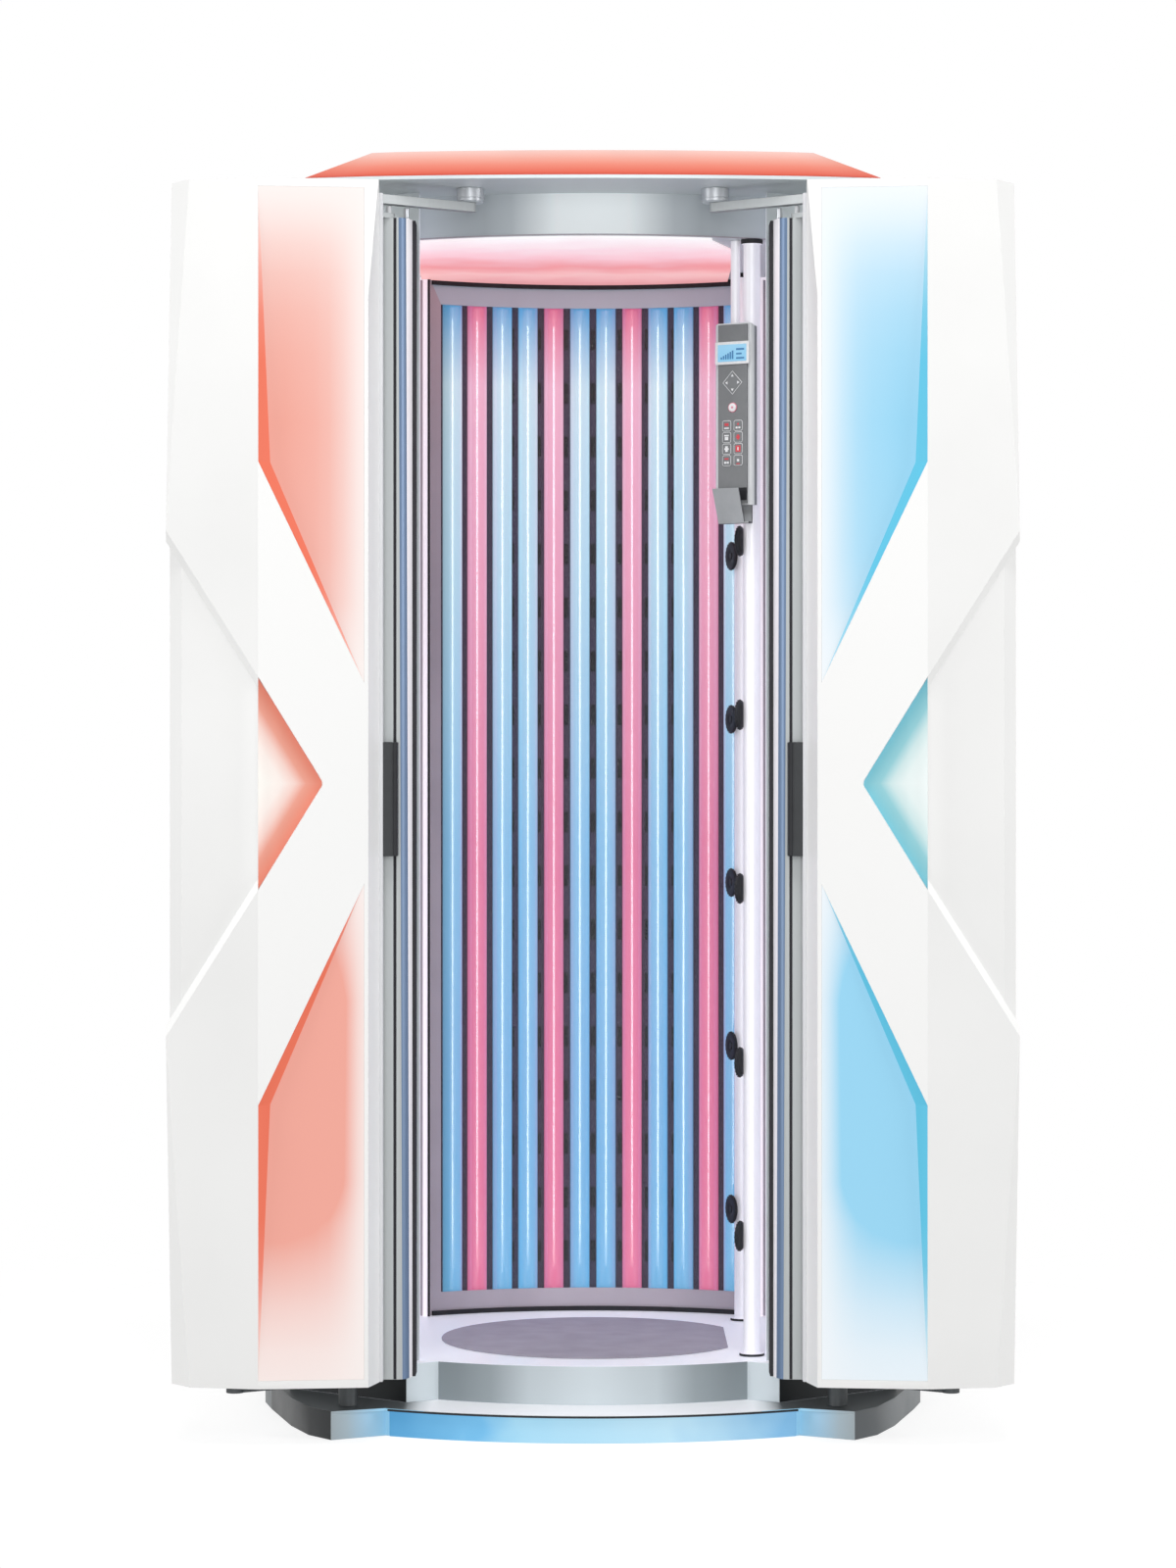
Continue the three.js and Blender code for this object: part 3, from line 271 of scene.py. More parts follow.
# mottled colour, uneven gloss and a fine bump; sizes in metres
def addSurface(material, dark, light, mottle, gloss, grain, height, stretch=(1, 1, 1)):
    tree = material.node_tree
    shader = tree.nodes["Principled BSDF"]
    place = addNode(tree, "ShaderNodeTexCoord")
    mapped = addNode(tree, "ShaderNodeMapping", {}, {"Vector": place.outputs["Object"], "Scale": stretch})
    cloud = addNode(tree, "ShaderNodeTexNoise", {},
                    {"Vector": mapped.outputs["Vector"], "Scale": 1 / mottle, "Detail": 4.0})
    tint = addNode(tree, "ShaderNodeValToRGB", {}, {"Fac": cloud.outputs["Fac"]})
    setRamp(tint, [(0.3, dark), (0.7, light)])
    tree.links.new(tint.outputs["Color"], shader.inputs["Base Color"])
    sheen = addNode(tree, "ShaderNodeMapRange", {}, {"Value": cloud.outputs["Fac"], "From Min": 0.3, "From Max": 0.7,
                                                     "To Min": gloss[0], "To Max": gloss[1]})
    tree.links.new(sheen.outputs["Result"], shader.inputs["Roughness"])
    fine = addNode(tree, "ShaderNodeTexNoise", {},
                   {"Vector": mapped.outputs["Vector"], "Scale": 1 / grain, "Detail": 2.0})
    bump = addNode(tree, "ShaderNodeBump", {},
                   {"Height": fine.outputs["Fac"], "Strength": 0.5, "Distance": height})
    tree.links.new(bump.outputs["Normal"], shader.inputs["Normal"])
    return material


# vacuum-formed white ABS: smooth gloss skin with a trace of orange peel
whiteAbs = addSurface(startMaterial("white ABS, moulded", "#e6e6e5", 0.35),
                      "#e4e4e3", "#e8e8e7", 0.35, (0.32, 0.4), 0.006, 0.00002)
# powder coat on sheet steel: satin, with a fine pebbled grain, drawn at 2 mm to show
greyCoat = addSurface(startMaterial("grey powder coat on steel", "#d3dadd", 0.45),
                      "#ced6d9", "#d8dfe1", 0.22, (0.38, 0.5), 0.002, 0.00003)
# the same powder coat in near white, on the platform and the inner walls, with a faint painted glow
paleCoat = addSurface(startMaterial("pale powder coat on steel, painted glow", "#f1f2f7", 0.45),
                      "#edeff5", "#f4f5f9", 0.22, (0.38, 0.5), 0.002, 0.00003)
paleGlowShader = paleCoat.node_tree.nodes["Principled BSDF"]
# painted glow: the coat shines faintly though it is no lamp
paleGlowShader.inputs["Emission Color"].default_value = toLinear("#eef0fb")
paleGlowShader.inputs["Emission Strength"].default_value = 0.14
# the same powder coat on the doorway posts, with a painted glow for the light that spills from the cabin
postGlowCoat = addSurface(startMaterial("light powder coat on steel, painted glow", "#e8ecf2", 0.45),
                      "#e4e8ef", "#ecf0f5", 0.22, (0.38, 0.5), 0.002, 0.00003)
postGlowShader = postGlowCoat.node_tree.nodes["Principled BSDF"]
postGlowShader.inputs["Emission Color"].default_value = toLinear("#eef0fb")
postGlowShader.inputs["Emission Strength"].default_value = 0.15
# satin silver paint on the cheeks beside the entry riser
silverCoat = addSurface(startMaterial("silver paint on steel", "#c9d2d7", 0.55, 0.35),
                        "#c5ced3", "#cdd6db", 0.1, (0.52, 0.6), 0.002, 0.00001)
# enamel on the lamp frame: satin violet grey
violetEnamel = addSurface(startMaterial("violet grey enamel on steel", "#b1a8b1", 0.4),
                          "#aca3ac", "#b6adb6", 0.15, (0.34, 0.46), 0.002, 0.00003)
# the same enamel painted bluer on the band over the tubes, to offset the pink light from the ceiling beside it
bandEnamel = addSurface(startMaterial("enamel on steel, painted bluer against pink light", "#b2c3cf", 0.4),
                        "#adbeca", "#b7c8d4", 0.15, (0.34, 0.46), 0.002, 0.00003)
# inside of the lamp tray: enamel painted dark violet, a painted shade between the tubes with a painted tint of their
# light
gapShadeEnamel = addSurface(startMaterial("enamel painted dark behind the tubes", "#3f3149", 0.6),
                        "#392c43", "#45364f", 0.08, (0.55, 0.65), 0.002, 0.00003)
# extruded aluminium, satin anodised: faint die lines run along the length
anodised = addSurface(startMaterial("anodised aluminium, satin", "#a4a8a9", 0.5, 0.3),
                      "#a0a4a5", "#a8acad", 0.012, (0.46, 0.54), 0.0012, 0.000002, (1, 1, 0.02))
# the same extrusion on its bullnose, smoother: painted darker and blue violet, a painted shade and reflection
anodisedReflection = addSurface(startMaterial("anodised aluminium, smooth, painted reflection", "#5d728e", 0.42, 0.3),
                          "#596e8a", "#617692", 0.012, (0.38, 0.46), 0.0012, 0.000002, (1, 1, 0.02))
# polished aluminium on the bosses, pins and tube caps
polished = addSurface(startMaterial("polished aluminium", "#bdc0c4", 0.36, 0.75),
                      "#b8bbbf", "#c2c5c9", 0.01, (0.36, 0.44), 0.0012, 0.000002, (1, 1, 0.02))
# tip of the bullnose painted pale and satin, so it stays light in the doorway: a painted highlight
anodisedHighlight = addSurface(startMaterial("anodised aluminium, painted highlight", "#efecf0", 0.4, 0.15),
                          "#ebe8ec", "#f2f0f3", 0.01, (0.36, 0.44), 0.0012, 0.000002, (1, 1, 0.02))
# stainless tube, satin: pale, with long soft reflections and a painted glow
stainless = addSurface(startMaterial("stainless steel tube, satin, painted glow", "#e9e8ed", 0.45, 0.3),
                       "#e6e5ea", "#ecebf0", 0.01, (0.42, 0.5), 0.0012, 0.000002, (1, 1, 0.03))
steelGlowShader = stainless.node_tree.nodes["Principled BSDF"]
# painted glow that lightens the tubes
steelGlowShader.inputs["Emission Color"].default_value = toLinear("#f4f2f8")
steelGlowShader.inputs["Emission Strength"].default_value = 0.18
# satin white ABS of the beads along the door edges, darker than the shells: painted shade in the crease beside the
# grips
beadShadeAbs = addSurface(startMaterial("white ABS bead, satin, painted shade", "#cdced1", 0.45),
                     "#cacbce", "#d0d1d4", 0.2, (0.42, 0.5), 0.002, 0.00002)
# black ABS with a spark-eroded mould texture, drawn at 1.5 mm
blackAbs = addSurface(startMaterial("black ABS, textured mould", "#26272a", 0.5),
                      "#222326", "#2c2d30", 0.03, (0.44, 0.56), 0.0015, 0.00004)
# dark grey ABS of the grips; on the flanks of the unit's tray the same dark is painted shade
darkAbsAndShade = addSurface(startMaterial("dark grey ABS, satin mould, and painted shade", "#36383a", 0.48),
                     "#323436", "#3b3d3f", 0.03, (0.42, 0.54), 0.0015, 0.00004)
# mid grey on the flank and back of the light grey control unit: painted shade
unitShadeAbs = addSurface(startMaterial("grey ABS, painted shade", "#8b8d92", 0.48),
                    "#86888d", "#909297", 0.03, (0.42, 0.54), 0.0015, 0.00004)
# extruded seal rubber: dull black with a dusty bloom
sealRubber = addSurface(startMaterial("black EPDM seal rubber", "#2a292e", 0.7),
                        "#262529", "#303034", 0.02, (0.64, 0.76), 0.0012, 0.00003)
# closed-cell floor mat: matt violet grey, pebbled at 4 mm
matFoam = addSurface(startMaterial("closed-cell EVA floor mat", "#a19ca8", 0.9),
                     "#9b96a2", "#a7a2ae", 0.06, (0.84, 0.94), 0.004, 0.0002)
# light grey ABS of the control unit
greyAbs = addSurface(startMaterial("light grey ABS, satin mould", "#d7d9dc", 0.42),
                     "#d2d4d7", "#dcdee0", 0.05, (0.36, 0.48), 0.0015, 0.00003)
# mid grey paint of the accessory tray
trayPaint = addSurface(startMaterial("mid grey paint on sheet steel", "#aeb1b4", 0.45),
                       "#a9acaf", "#b4b7ba", 0.03, (0.4, 0.5), 0.0015, 0.00003)
# black blocks for the vent slots: painted shade of the dark room behind them
slotShade = addSurface(startMaterial("black painted shade in the vent slots", "#0d0b11", 0.9),
                       "#0b090e", "#100e14", 0.02, (0.86, 0.94), 0.002, 0.00003)
# printed polyester membrane of the keypad
membrane = addSurface(startMaterial("polyester keypad membrane", "#7c7d7f", 0.45),
                      "#787a7c", "#808284", 0.03, (0.4, 0.5), 0.0012, 0.00001)
# zinc-plated steel of screws and brackets
zincSteel = addSurface(startMaterial("zinc-plated steel", "#9fa4a6", 0.36, 1.0),
                       "#979c9e", "#aab0b2", 0.01, (0.3, 0.44), 0.001, 0.00002)
# graphite paint on the outer flanks of the base; on the outer faces of the platform the same dark is painted shade
# under the doors
graphite = addSurface(startMaterial("graphite paint on steel, also painted shade", "#282b2d", 0.4),
                      "#25282a", "#2b2e30", 0.12, (0.34, 0.46), 0.002, 0.00003)
# the same paint a shade lighter on the sides and back of the base; on its right flank the lighter tone is painted light
slate = addSurface(startMaterial("graphite paint painted lighter", "#666b6e", 0.4),
                   "#616669", "#6b7073", 0.12, (0.34, 0.46), 0.002, 0.00003)
# blackened steel of the lower arms
blackSteel = addSurface(startMaterial("blackened steel", "#4a4e50", 0.5, 0.3),
                        "#464a4c", "#4e5254", 0.02, (0.44, 0.56), 0.0015, 0.00004)
# screen print on keys and display: matt ink with a slightly uneven film
printWhite = addSurface(startMaterial("white screen print", "#e8e8ea", 0.5),
                        "#e2e2e5", "#eeeeef", 0.004, (0.46, 0.56), 0.001, 0.00001)
printRed = addSurface(startMaterial("red screen print", "#cf3f4b", 0.5),
                      "#c93a46", "#d54651", 0.004, (0.46, 0.56), 0.001, 0.00001)
printPink = addSurface(startMaterial("pink screen print", "#dd8b9c", 0.5),
                       "#d88596", "#e292a2", 0.004, (0.46, 0.56), 0.001, 0.00001)
printBlue = addSurface(startMaterial("blue display segments", "#3f7fb4", 0.5),
                       "#3a79ae", "#4586ba", 0.004, (0.46, 0.56), 0.001, 0.00001)

# dark mouldings, rubber and enamel are dull, so the white room hardly shows on them
for dull in (blackAbs, darkAbsAndShade, unitShadeAbs, sealRubber, membrane, gapShadeEnamel, slotShade, graphite, slate):
    dull.node_tree.nodes["Principled BSDF"].inputs["Specular IOR Level"].default_value = 0.2

# clear cast acrylic: almost all light passes
clearAcrylic = startMaterial("clear cast acrylic", "#f4f8fb", 0.04)
clearShader = clearAcrylic.node_tree.nodes["Principled BSDF"]
clearShader.inputs["Alpha"].default_value = 0.03
clearShader.inputs["Specular IOR Level"].default_value = 0.2
clearShader.inputs["IOR"].default_value = 1.49


# a lit sheet both shines in its colour and takes light on its skin; on a coat, the shine is a painted glow
def shine(material, colour, glow=0.53, skin=0.42):
    tree = material.node_tree
    shader = tree.nodes["Principled BSDF"]
    dimmed = addNode(tree, "ShaderNodeMix", {"data_type": "RGBA", "blend_type": "MULTIPLY"},
                     {0: 1.0, 6: colour, 7: [skin] * 3 + [1]})
    tree.links.new(dimmed.outputs[2], shader.inputs["Base Color"])
    tree.links.new(colour, shader.inputs["Emission Color"])
    shader.inputs["Emission Strength"].default_value = glow
    return material


# opal sheet: frosted face with little reflection
def startSheet(name, colour):
    material = startMaterial(name, colour, 0.5)
    material.node_tree.nodes["Principled BSDF"].inputs["Specular IOR Level"].default_value = 0.15
    return material


# opal acrylic of a door, lit from behind: strongest beside the crease, fading to the other edges
doorGlow = {"mid": 1.137, "reach": 1.033, "crease": 0.571, "inner": 0.384, "tall": 0.182, "wide": 0.112}


def doorSheet(name, side, pale, deep, along, up):
    material = startSheet(name, pale)
    tree = material.node_tree
    place = addNode(tree, "ShaderNodeTexCoord")
    parts = addNode(tree, "ShaderNodeSeparateXYZ", {}, {"Vector": place.outputs["Object"]})
    across = addNode(tree, "ShaderNodeMapRange", {}, {"Value": parts.outputs["X"],
                     "From Min": -side * doorGlow["crease"], "From Max": -side * doorGlow["inner"]})
    rise = addNode(tree, "ShaderNodeMapRange", {}, {"Value": parts.outputs["Z"],
                   "From Min": doorGlow["mid"] - doorGlow["reach"], "From Max": doorGlow["mid"] + doorGlow["reach"]})
    acrossRamp = addNode(tree, "ShaderNodeValToRGB", {}, {"Fac": across.outputs["Result"]})
    setRamp(acrossRamp, [(p, (v, v, v, 1)) for p, v in along])
    riseRamp = addNode(tree, "ShaderNodeValToRGB", {}, {"Fac": rise.outputs["Result"]})
    setRamp(riseRamp, [(p, (v, v, v, 1)) for p, v in up])
    share = addNode(tree, "ShaderNodeMath", {"operation": "MULTIPLY"},
                    {0: acrossRamp.outputs["Color"], 1: riseRamp.outputs["Color"]})
    colour = addNode(tree, "ShaderNodeMix", {"data_type": "RGBA"},
                     {0: share.outputs[0], 6: toLinear(pale), 7: toLinear(deep)})
    return shine(material, colour.outputs[2])


# opal acrylic of the centre diamond: white in the middle of the crease, deep at its edges
def diamondSheet(name, side, stops):
    material = startSheet(name, stops[0][1])
    tree = material.node_tree
    place = addNode(tree, "ShaderNodeTexCoord")
    moved = addNode(tree, "ShaderNodeMapping", {"vector_type": "POINT"},
                    {"Vector": place.outputs["Object"], "Location": (side * doorGlow["crease"], 0, -doorGlow["mid"])})
    parts = addNode(tree, "ShaderNodeSeparateXYZ", {}, {"Vector": moved.outputs["Vector"]})
    tall = addNode(tree, "ShaderNodeMath", {"operation": "ABSOLUTE"}, {0: parts.outputs["Z"]})
    wide = addNode(tree, "ShaderNodeMath", {"operation": "ABSOLUTE"}, {0: parts.outputs["X"]})
    tallShare = addNode(tree, "ShaderNodeMath", {"operation": "DIVIDE"}, {0: tall.outputs[0], 1: doorGlow["tall"]})
    share = addNode(tree, "ShaderNodeMath", {"operation": "MULTIPLY_ADD"},
                    {0: wide.outputs[0], 1: 1 / doorGlow["wide"], 2: tallShare.outputs[0]})
    ramp = addNode(tree, "ShaderNodeValToRGB", {}, {"Fac": share.outputs[0]})
    setRamp(ramp, stops)
    return shine(material, ramp.outputs["Color"])


# opal acrylic whose colour runs along one axis, with soft patches from the lamps behind it
def runSheet(name, axis, low, high, stops, patch, depth, glow, skin):
    material = startSheet(name, stops[0][1])
    tree = material.node_tree
    place = addNode(tree, "ShaderNodeTexCoord")
    parts = addNode(tree, "ShaderNodeSeparateXYZ", {}, {"Vector": place.outputs["Object"]})
    run = addNode(tree, "ShaderNodeMapRange", {}, {"Value": parts.outputs[axis], "From Min": low, "From Max": high})
    cloud = addNode(tree, "ShaderNodeTexNoise", {},
                    {"Vector": place.outputs["Object"], "Scale": 1 / patch, "Detail": 1.0})
    sway = addNode(tree, "ShaderNodeMapRange", {}, {"Value": cloud.outputs["Fac"], "To Min": -depth, "To Max": depth})
    total = addNode(tree, "ShaderNodeMath", {"operation": "ADD", "use_clamp": True},
                    {0: run.outputs["Result"], 1: sway.outputs["Result"]})
    ramp = addNode(tree, "ShaderNodeValToRGB", {}, {"Fac": total.outputs[0]})
    setRamp(ramp, stops)
    return shine(material, ramp.outputs["Color"], glow, skin)


# coat whose colour runs outwards from the middle of the base, with the light that spills over it: painted light and
# shade along the run, and a painted glow
def paintedSpreadCoat(name, near, far, stops, glow, skin):
    material = startMaterial(name, stops[0][1], 0.45)
    tree = material.node_tree
    place = addNode(tree, "ShaderNodeTexCoord")
    parts = addNode(tree, "ShaderNodeSeparateXYZ", {}, {"Vector": place.outputs["Object"]})
    out = addNode(tree, "ShaderNodeMath", {"operation": "ABSOLUTE"}, {0: parts.outputs["X"]})
    run = addNode(tree, "ShaderNodeMapRange", {}, {"Value": out.outputs[0], "From Min": near, "From Max": far})
    ramp = addNode(tree, "ShaderNodeValToRGB", {}, {"Fac": run.outputs["Result"]})
    setRamp(ramp, stops)
    return shine(material, ramp.outputs["Color"], glow, skin)


sheetAlong = [(0.0, 1.0), (0.24, 1.0), (0.5, 0.92), (0.64, 0.81), (0.77, 0.56), (0.9, 0.21), (1.0, 0.02)]
sheetUp = [(0.0, 0.1), (0.03, 0.2), (0.065, 0.45), (0.1, 0.78), (0.135, 1.15), (0.17, 1.85), (0.32, 2.05),
           (0.36, 1.35), (0.41, 0.5), (0.5, 0.0), (0.585, 0.1), (0.63, 0.62), (0.65, 0.86), (0.69, 0.97), (0.8, 1.0),
           (0.855, 0.92), (0.89, 0.82), (0.92, 0.67), (0.945, 0.46), (0.965, 0.24), (0.985, 0.07), (1.0, 0.0)]
rimAlong = [(0.0, 1.0), (0.6, 1.0), (1.0, 0.7)]
rimUp = [(0.0, 0.05), (0.03, 0.25), (0.065, 0.62), (0.1, 0.92), (0.14, 1.0), (0.38, 1.0), (0.42, 0.4), (0.5, 0.05),
         (0.58, 0.3), (0.62, 0.8), (0.68, 1.0), (0.85, 1.0), (0.89, 0.9), (0.925, 0.66), (0.95, 0.42), (0.97, 0.2), (1.0, 0.03)]
coralSheet = doorSheet("coral opal acrylic, lit", 1, "#fbf3f0", "#f3aa9b", sheetAlong, sheetUp)
coralRim = doorSheet("coral opal acrylic, recess wall", 1, "#fae9e4", "#ec775d", rimAlong, rimUp)
coralDiamond = diamondSheet("coral opal acrylic, diamond", 1,
                            [(0.1, "#fffbf5"), (0.36, "#fef2ec"), (0.55, "#fad9d0"), (0.72, "#f3a794"), (0.9, "#ef937d"), (1.0, "#ea8570")])
blueSheet = doorSheet("blue opal acrylic, lit", -1, "#f4f9fd", "#9bd8f5", sheetAlong, sheetUp)
blueRim = doorSheet("blue opal acrylic, recess wall", -1, "#e2f2f8", "#62c4e3", rimAlong, rimUp)
blueDiamond = diamondSheet("blue opal acrylic, diamond", -1,
                           [(0.1, "#f2faf9"), (0.36, "#eaf6f5"), (0.55, "#d3ebec"), (0.72, "#9bd5de"), (0.9, "#86cddb"), (1.0, "#78c8dc")])
domeSheet = runSheet("coral opal acrylic, dome", "Z", 2.187, 2.262,
                     [(0.0, "#cf452d"), (0.08, "#e0654f"), (0.3, "#ea8671"), (0.5, "#f0a796"), (0.7, "#f5c6bc"), (0.9, "#f9e0da")],
                     0.25, 0.03, 0.55, 0.42)
ceilingSheet = runSheet("pink opal acrylic, ceiling", "Y", -0.42, 0.27,
                        [(0.01, "#fffcfe"), (0.2, "#fce4ea"), (0.4, "#fbc9d2"), (0.6, "#f0999c"), (0.75, "#fbc2c1"), (0.95, "#eaa3a6")],
                        0.09, 0.1, 0.77, 0.4)
baseSheet = runSheet("blue opal acrylic, base", "X", -0.36, 0.36,
                     [(0.0, "#5ba6d8"), (0.2, "#7ac1ed"), (0.32, "#a8dbf4"), (0.69, "#bfe4f6"), (0.97, "#86bfe8")],
                     0.06, 0.08, 0.68, 0.36)
# white coat of the ledge: painted cabin light in the middle, painted shadow under the doors towards the ends, and a
# painted glow
ledgeShadeCoat = paintedSpreadCoat("white coat of the ledge, painted light and shadow", 0.28, 0.40,
                       [(0.0, "#f4f7fb"), (0.17, "#d5dbdf"), (0.42, "#565b5e"), (0.7, "#45494c"), (1.0, "#34383a")], 0.25, 0.68)
# silver paint of the riser: lighter in the middle and darker towards the ends as a painted reflection, with a faint
# painted glow
riserReflectionCoat = paintedSpreadCoat("silver paint of the riser, painted reflection", 0.0, 0.28,
                       [(0.0, "#d2dce1"), (0.4, "#c9d3d8"), (0.64, "#9fa9ae"), (0.85, "#919ba0")], 0.06, 0.86)
# pale coat of the wings' inner faces: painted blue glow from the base panel, fading outwards to grey
spillGlowCoat = paintedSpreadCoat("pale coat, painted glow from the base", 0.36, 0.455,
                       [(0.0, "#a2dcfb"), (0.35, "#a5cde6"), (0.7, "#a5b7c1"), (1.0, "#9ea8ad")], 0.32, 0.72)
# pale coat of the fascia: painted light in the middle, painted shade towards the arms and bosses, and a painted glow
fasciaShadeCoat = paintedSpreadCoat("pale coat of the canopy, painted light and shade", 0.0, 0.32,
                        [(0.0, "#f2f8fa"), (0.2, "#eff5f7"), (0.45, "#b0b7bc"), (0.6, "#a3aaaf"), (1.0, "#b9bfc4")], 0.2, 0.95)
displaySheet = runSheet("display glass, lit", "Z", 1.88, 1.92, [(0.0, "#8fcdf0"), (1.0, "#a4d8f5")], 0.02, 0.1, 0.6, 0.4)


# fluorescent tube: phosphor seen through clear glass, palest high up and deeper towards both ends
tubeRun = {"low": 0.162, "high": 2.058}


def tubeGlass(name, stops):
    material = startMaterial(name, stops[-1][1], 0.4)
    tree = material.node_tree
    shader = tree.nodes["Principled BSDF"]
    shader.inputs["Specular IOR Level"].default_value = 0.1
    shader.inputs["Coat Weight"].default_value = 1.0
    shader.inputs["Coat Roughness"].default_value = 0.02
    shader.inputs["Coat IOR"].default_value = 2.0
    place = addNode(tree, "ShaderNodeTexCoord")
    parts = addNode(tree, "ShaderNodeSeparateXYZ", {}, {"Vector": place.outputs["Object"]})
    rise = addNode(tree, "ShaderNodeMapRange", {}, {"Value": parts.outputs["Z"],
                   "From Min": tubeRun["low"], "From Max": tubeRun["high"]})
    ramp = addNode(tree, "ShaderNodeValToRGB", {}, {"Fac": rise.outputs["Result"]})
    setRamp(ramp, stops)
    return shine(material, ramp.outputs["Color"], 0.58, 0.5)


blueTube = tubeGlass("blue fluorescent tube",
                     [(0.0, "#6ebdec"), (0.21, "#7abceb"), (0.45, "#89c8f0"), (0.72, "#bce6fb"), (0.92, "#d0f0fe"), (1.0, "#5cb0e6")])
pinkTube = tubeGlass("pink fluorescent tube",
                     [(0.0, "#f2739d"), (0.21, "#f2749e"), (0.45, "#f07ba3"), (0.72, "#fba4c3"), (0.92, "#fcb9d4"), (1.0, "#ec6a94")])
print("materials made")


# studio: pale floor that fades into a white background, soft boxes and an even sky
stageSetup = {"floor": 6.0, "fadeFrom": 0.2, "fadeTo": 0.45, "sky": 0.24, "lift": 0.8, "bounce": 0.1}
softBoxes = {
    "frontBox": {"place": (0, -8.6, 1.2), "aim": (0, 0.2, 1.2), "size": (2.8, 4.4), "power": 186},
    "keyBox": {"place": (0, -3.0, 5.6), "aim": (0, -0.4, 1.0), "size": (2.4, 2.0), "power": 152},
    "leftBox": {"place": (-5.4, -2.4, 1.9), "aim": (0.3, -0.6, 1.3), "size": (1.6, 3.0), "power": 162},
    "rightBox": {"place": (5.4, -2.4, 1.9), "aim": (-0.3, -0.6, 1.3), "size": (1.6, 3.0), "power": 162},
}


# 1 for rays that see the background: straight on, in a reflection or through glass
def seenRays(tree):
    rays = addNode(tree, "ShaderNodeLightPath")
    straight = addNode(tree, "ShaderNodeMath", {"operation": "MAXIMUM"},
                       {0: rays.outputs["Is Camera Ray"], 1: rays.outputs["Is Transmission Ray"]})
    seen = addNode(tree, "ShaderNodeMath", {"operation": "MAXIMUM"},
                   {0: straight.outputs[0], 1: rays.outputs["Is Glossy Ray"]})
    return seen.outputs[0]


deselectAll()
bpy.ops.mesh.primitive_plane_add(size=2 * stageSetup["floor"])
floor = bpy.context.object
floor.name = "studioFloor"
floorMaterial = startMaterial("pale studio floor", "#8e8e8e", 0.9)
floorTree = floorMaterial.node_tree
floorShader = floorTree.nodes["Principled BSDF"]
floorShader.inputs["Emission Color"].default_value = (1, 1, 1, 1)
floorLift = addNode(floorTree, "ShaderNodeMapRange", {}, {"Value": seenRays(floorTree),
                    "To Min": stageSetup["bounce"], "To Max": stageSetup["lift"]})
floorTree.links.new(floorLift.outputs["Result"], floorShader.inputs["Emission Strength"])
floorPlace = addNode(floorTree, "ShaderNodeTexCoord")
floorReach = addNode(floorTree, "ShaderNodeVectorMath", {"operation": "LENGTH"}, {0: floorPlace.outputs["Object"]})
floorFade = addNode(floorTree, "ShaderNodeMapRange", {"interpolation_type": "SMOOTHSTEP"},
                    {"Value": floorReach.outputs["Value"], "From Min": stageSetup["fadeFrom"] * stageSetup["floor"],
                     "From Max": stageSetup["fadeTo"] * stageSetup["floor"], "To Min": 1.0, "To Max": 0.0})
floorTree.links.new(floorFade.outputs["Result"], floorShader.inputs["Alpha"])
wear(floor, floorMaterial)

for name, light in softBoxes.items():
    deselectAll()
    aim = Vector(light["aim"]) - Vector(light["place"])
    bpy.ops.object.light_add(type="AREA", location=light["place"], rotation=aim.to_track_quat("-Z", "Y").to_euler())
    lamp = bpy.context.object
    lamp.name = name
    lamp.data.shape = "RECTANGLE"
    lamp.data.size, lamp.data.size_y = light["size"]
    lamp.data.energy = light["power"]

world = bpy.data.worlds.new("white studio")
bpy.context.scene.world = world
world.use_nodes = True
sky = world.node_tree
sky.nodes.clear()
skyLevel = addNode(sky, "ShaderNodeMapRange", {}, {"Value": seenRays(sky), "To Min": stageSetup["sky"], "To Max": 1.0})
skyLight = addNode(sky, "ShaderNodeBackground", {}, {"Color": (1, 1, 1, 1), "Strength": skyLevel.outputs["Result"]})
addNode(sky, "ShaderNodeOutputWorld", {}, {"Surface": skyLight.outputs["Background"]})
print("studio set")


# plain pieces: each is the CAD solid with its edges rounded, in its real finish
dressed = {
    "base_glow_panel": ("baseGlowPanel", "blue_acrylic", baseSheet, 0.0008),
    "floor_mat": ("floorMat", "floor_rubber", matFoam, 0.001),
    "rear_shell": ("rearShell", "white_shell", whiteAbs, 0.001),
    "acrylic_shield": ("acrylicShield", "clear_acrylic", clearAcrylic, 0.0006),
    "ceiling_light_panel": ("ceilingPanel", "pink_acrylic", ceilingSheet, 0.001),
    "canopy_dome": ("canopyDome", "coral_acrylic", domeSheet, 0.002),
    "ballast_tray": ("ballastTray", "zinc_sheet", zincSteel, 0.0006),
    "keypad_plate": ("keypadPlate", "keypad_film", membrane, 0.0004),
}
for node, (name, slot, material, width) in dressed.items():
    piece = copyNode(node, name)
    roundEdges(piece, width)
    wear(piece, material)
    finishPiece(piece, "booth", (node,))
piece = copyNode("fan_rotor", "fanRotor")
roundEdges(piece, 0.0006)
wear(piece, blackAbs)
finishPiece(piece, "fan", ("fan_rotor",))
print("plain pieces dressed")


# base and entry: silver riser, dark lip over the glow panel; the lip also stands in for the shadow gap under the ledge
entrySetup = {"lipCentre": (0, 0.168), "lipRadius": (0.7912, 0.7932), "lipRise": (0.0452, 0.0488), "lipTurn": 26.8,
              "cheek": 0.272, "flank": 0.33}

base = copyNode("base_plinth", "basePlinth")
roundEdges(base, 0.0012)
wear(base, greyCoat, ledgeShadeCoat, spillGlowCoat, graphite, slate)
# top of the base: painted light in the middle, painted shadow under the doors
paintFaces(base, 1, lambda centre, normal: normal.z > 0.5 and centre.z > 0.049)
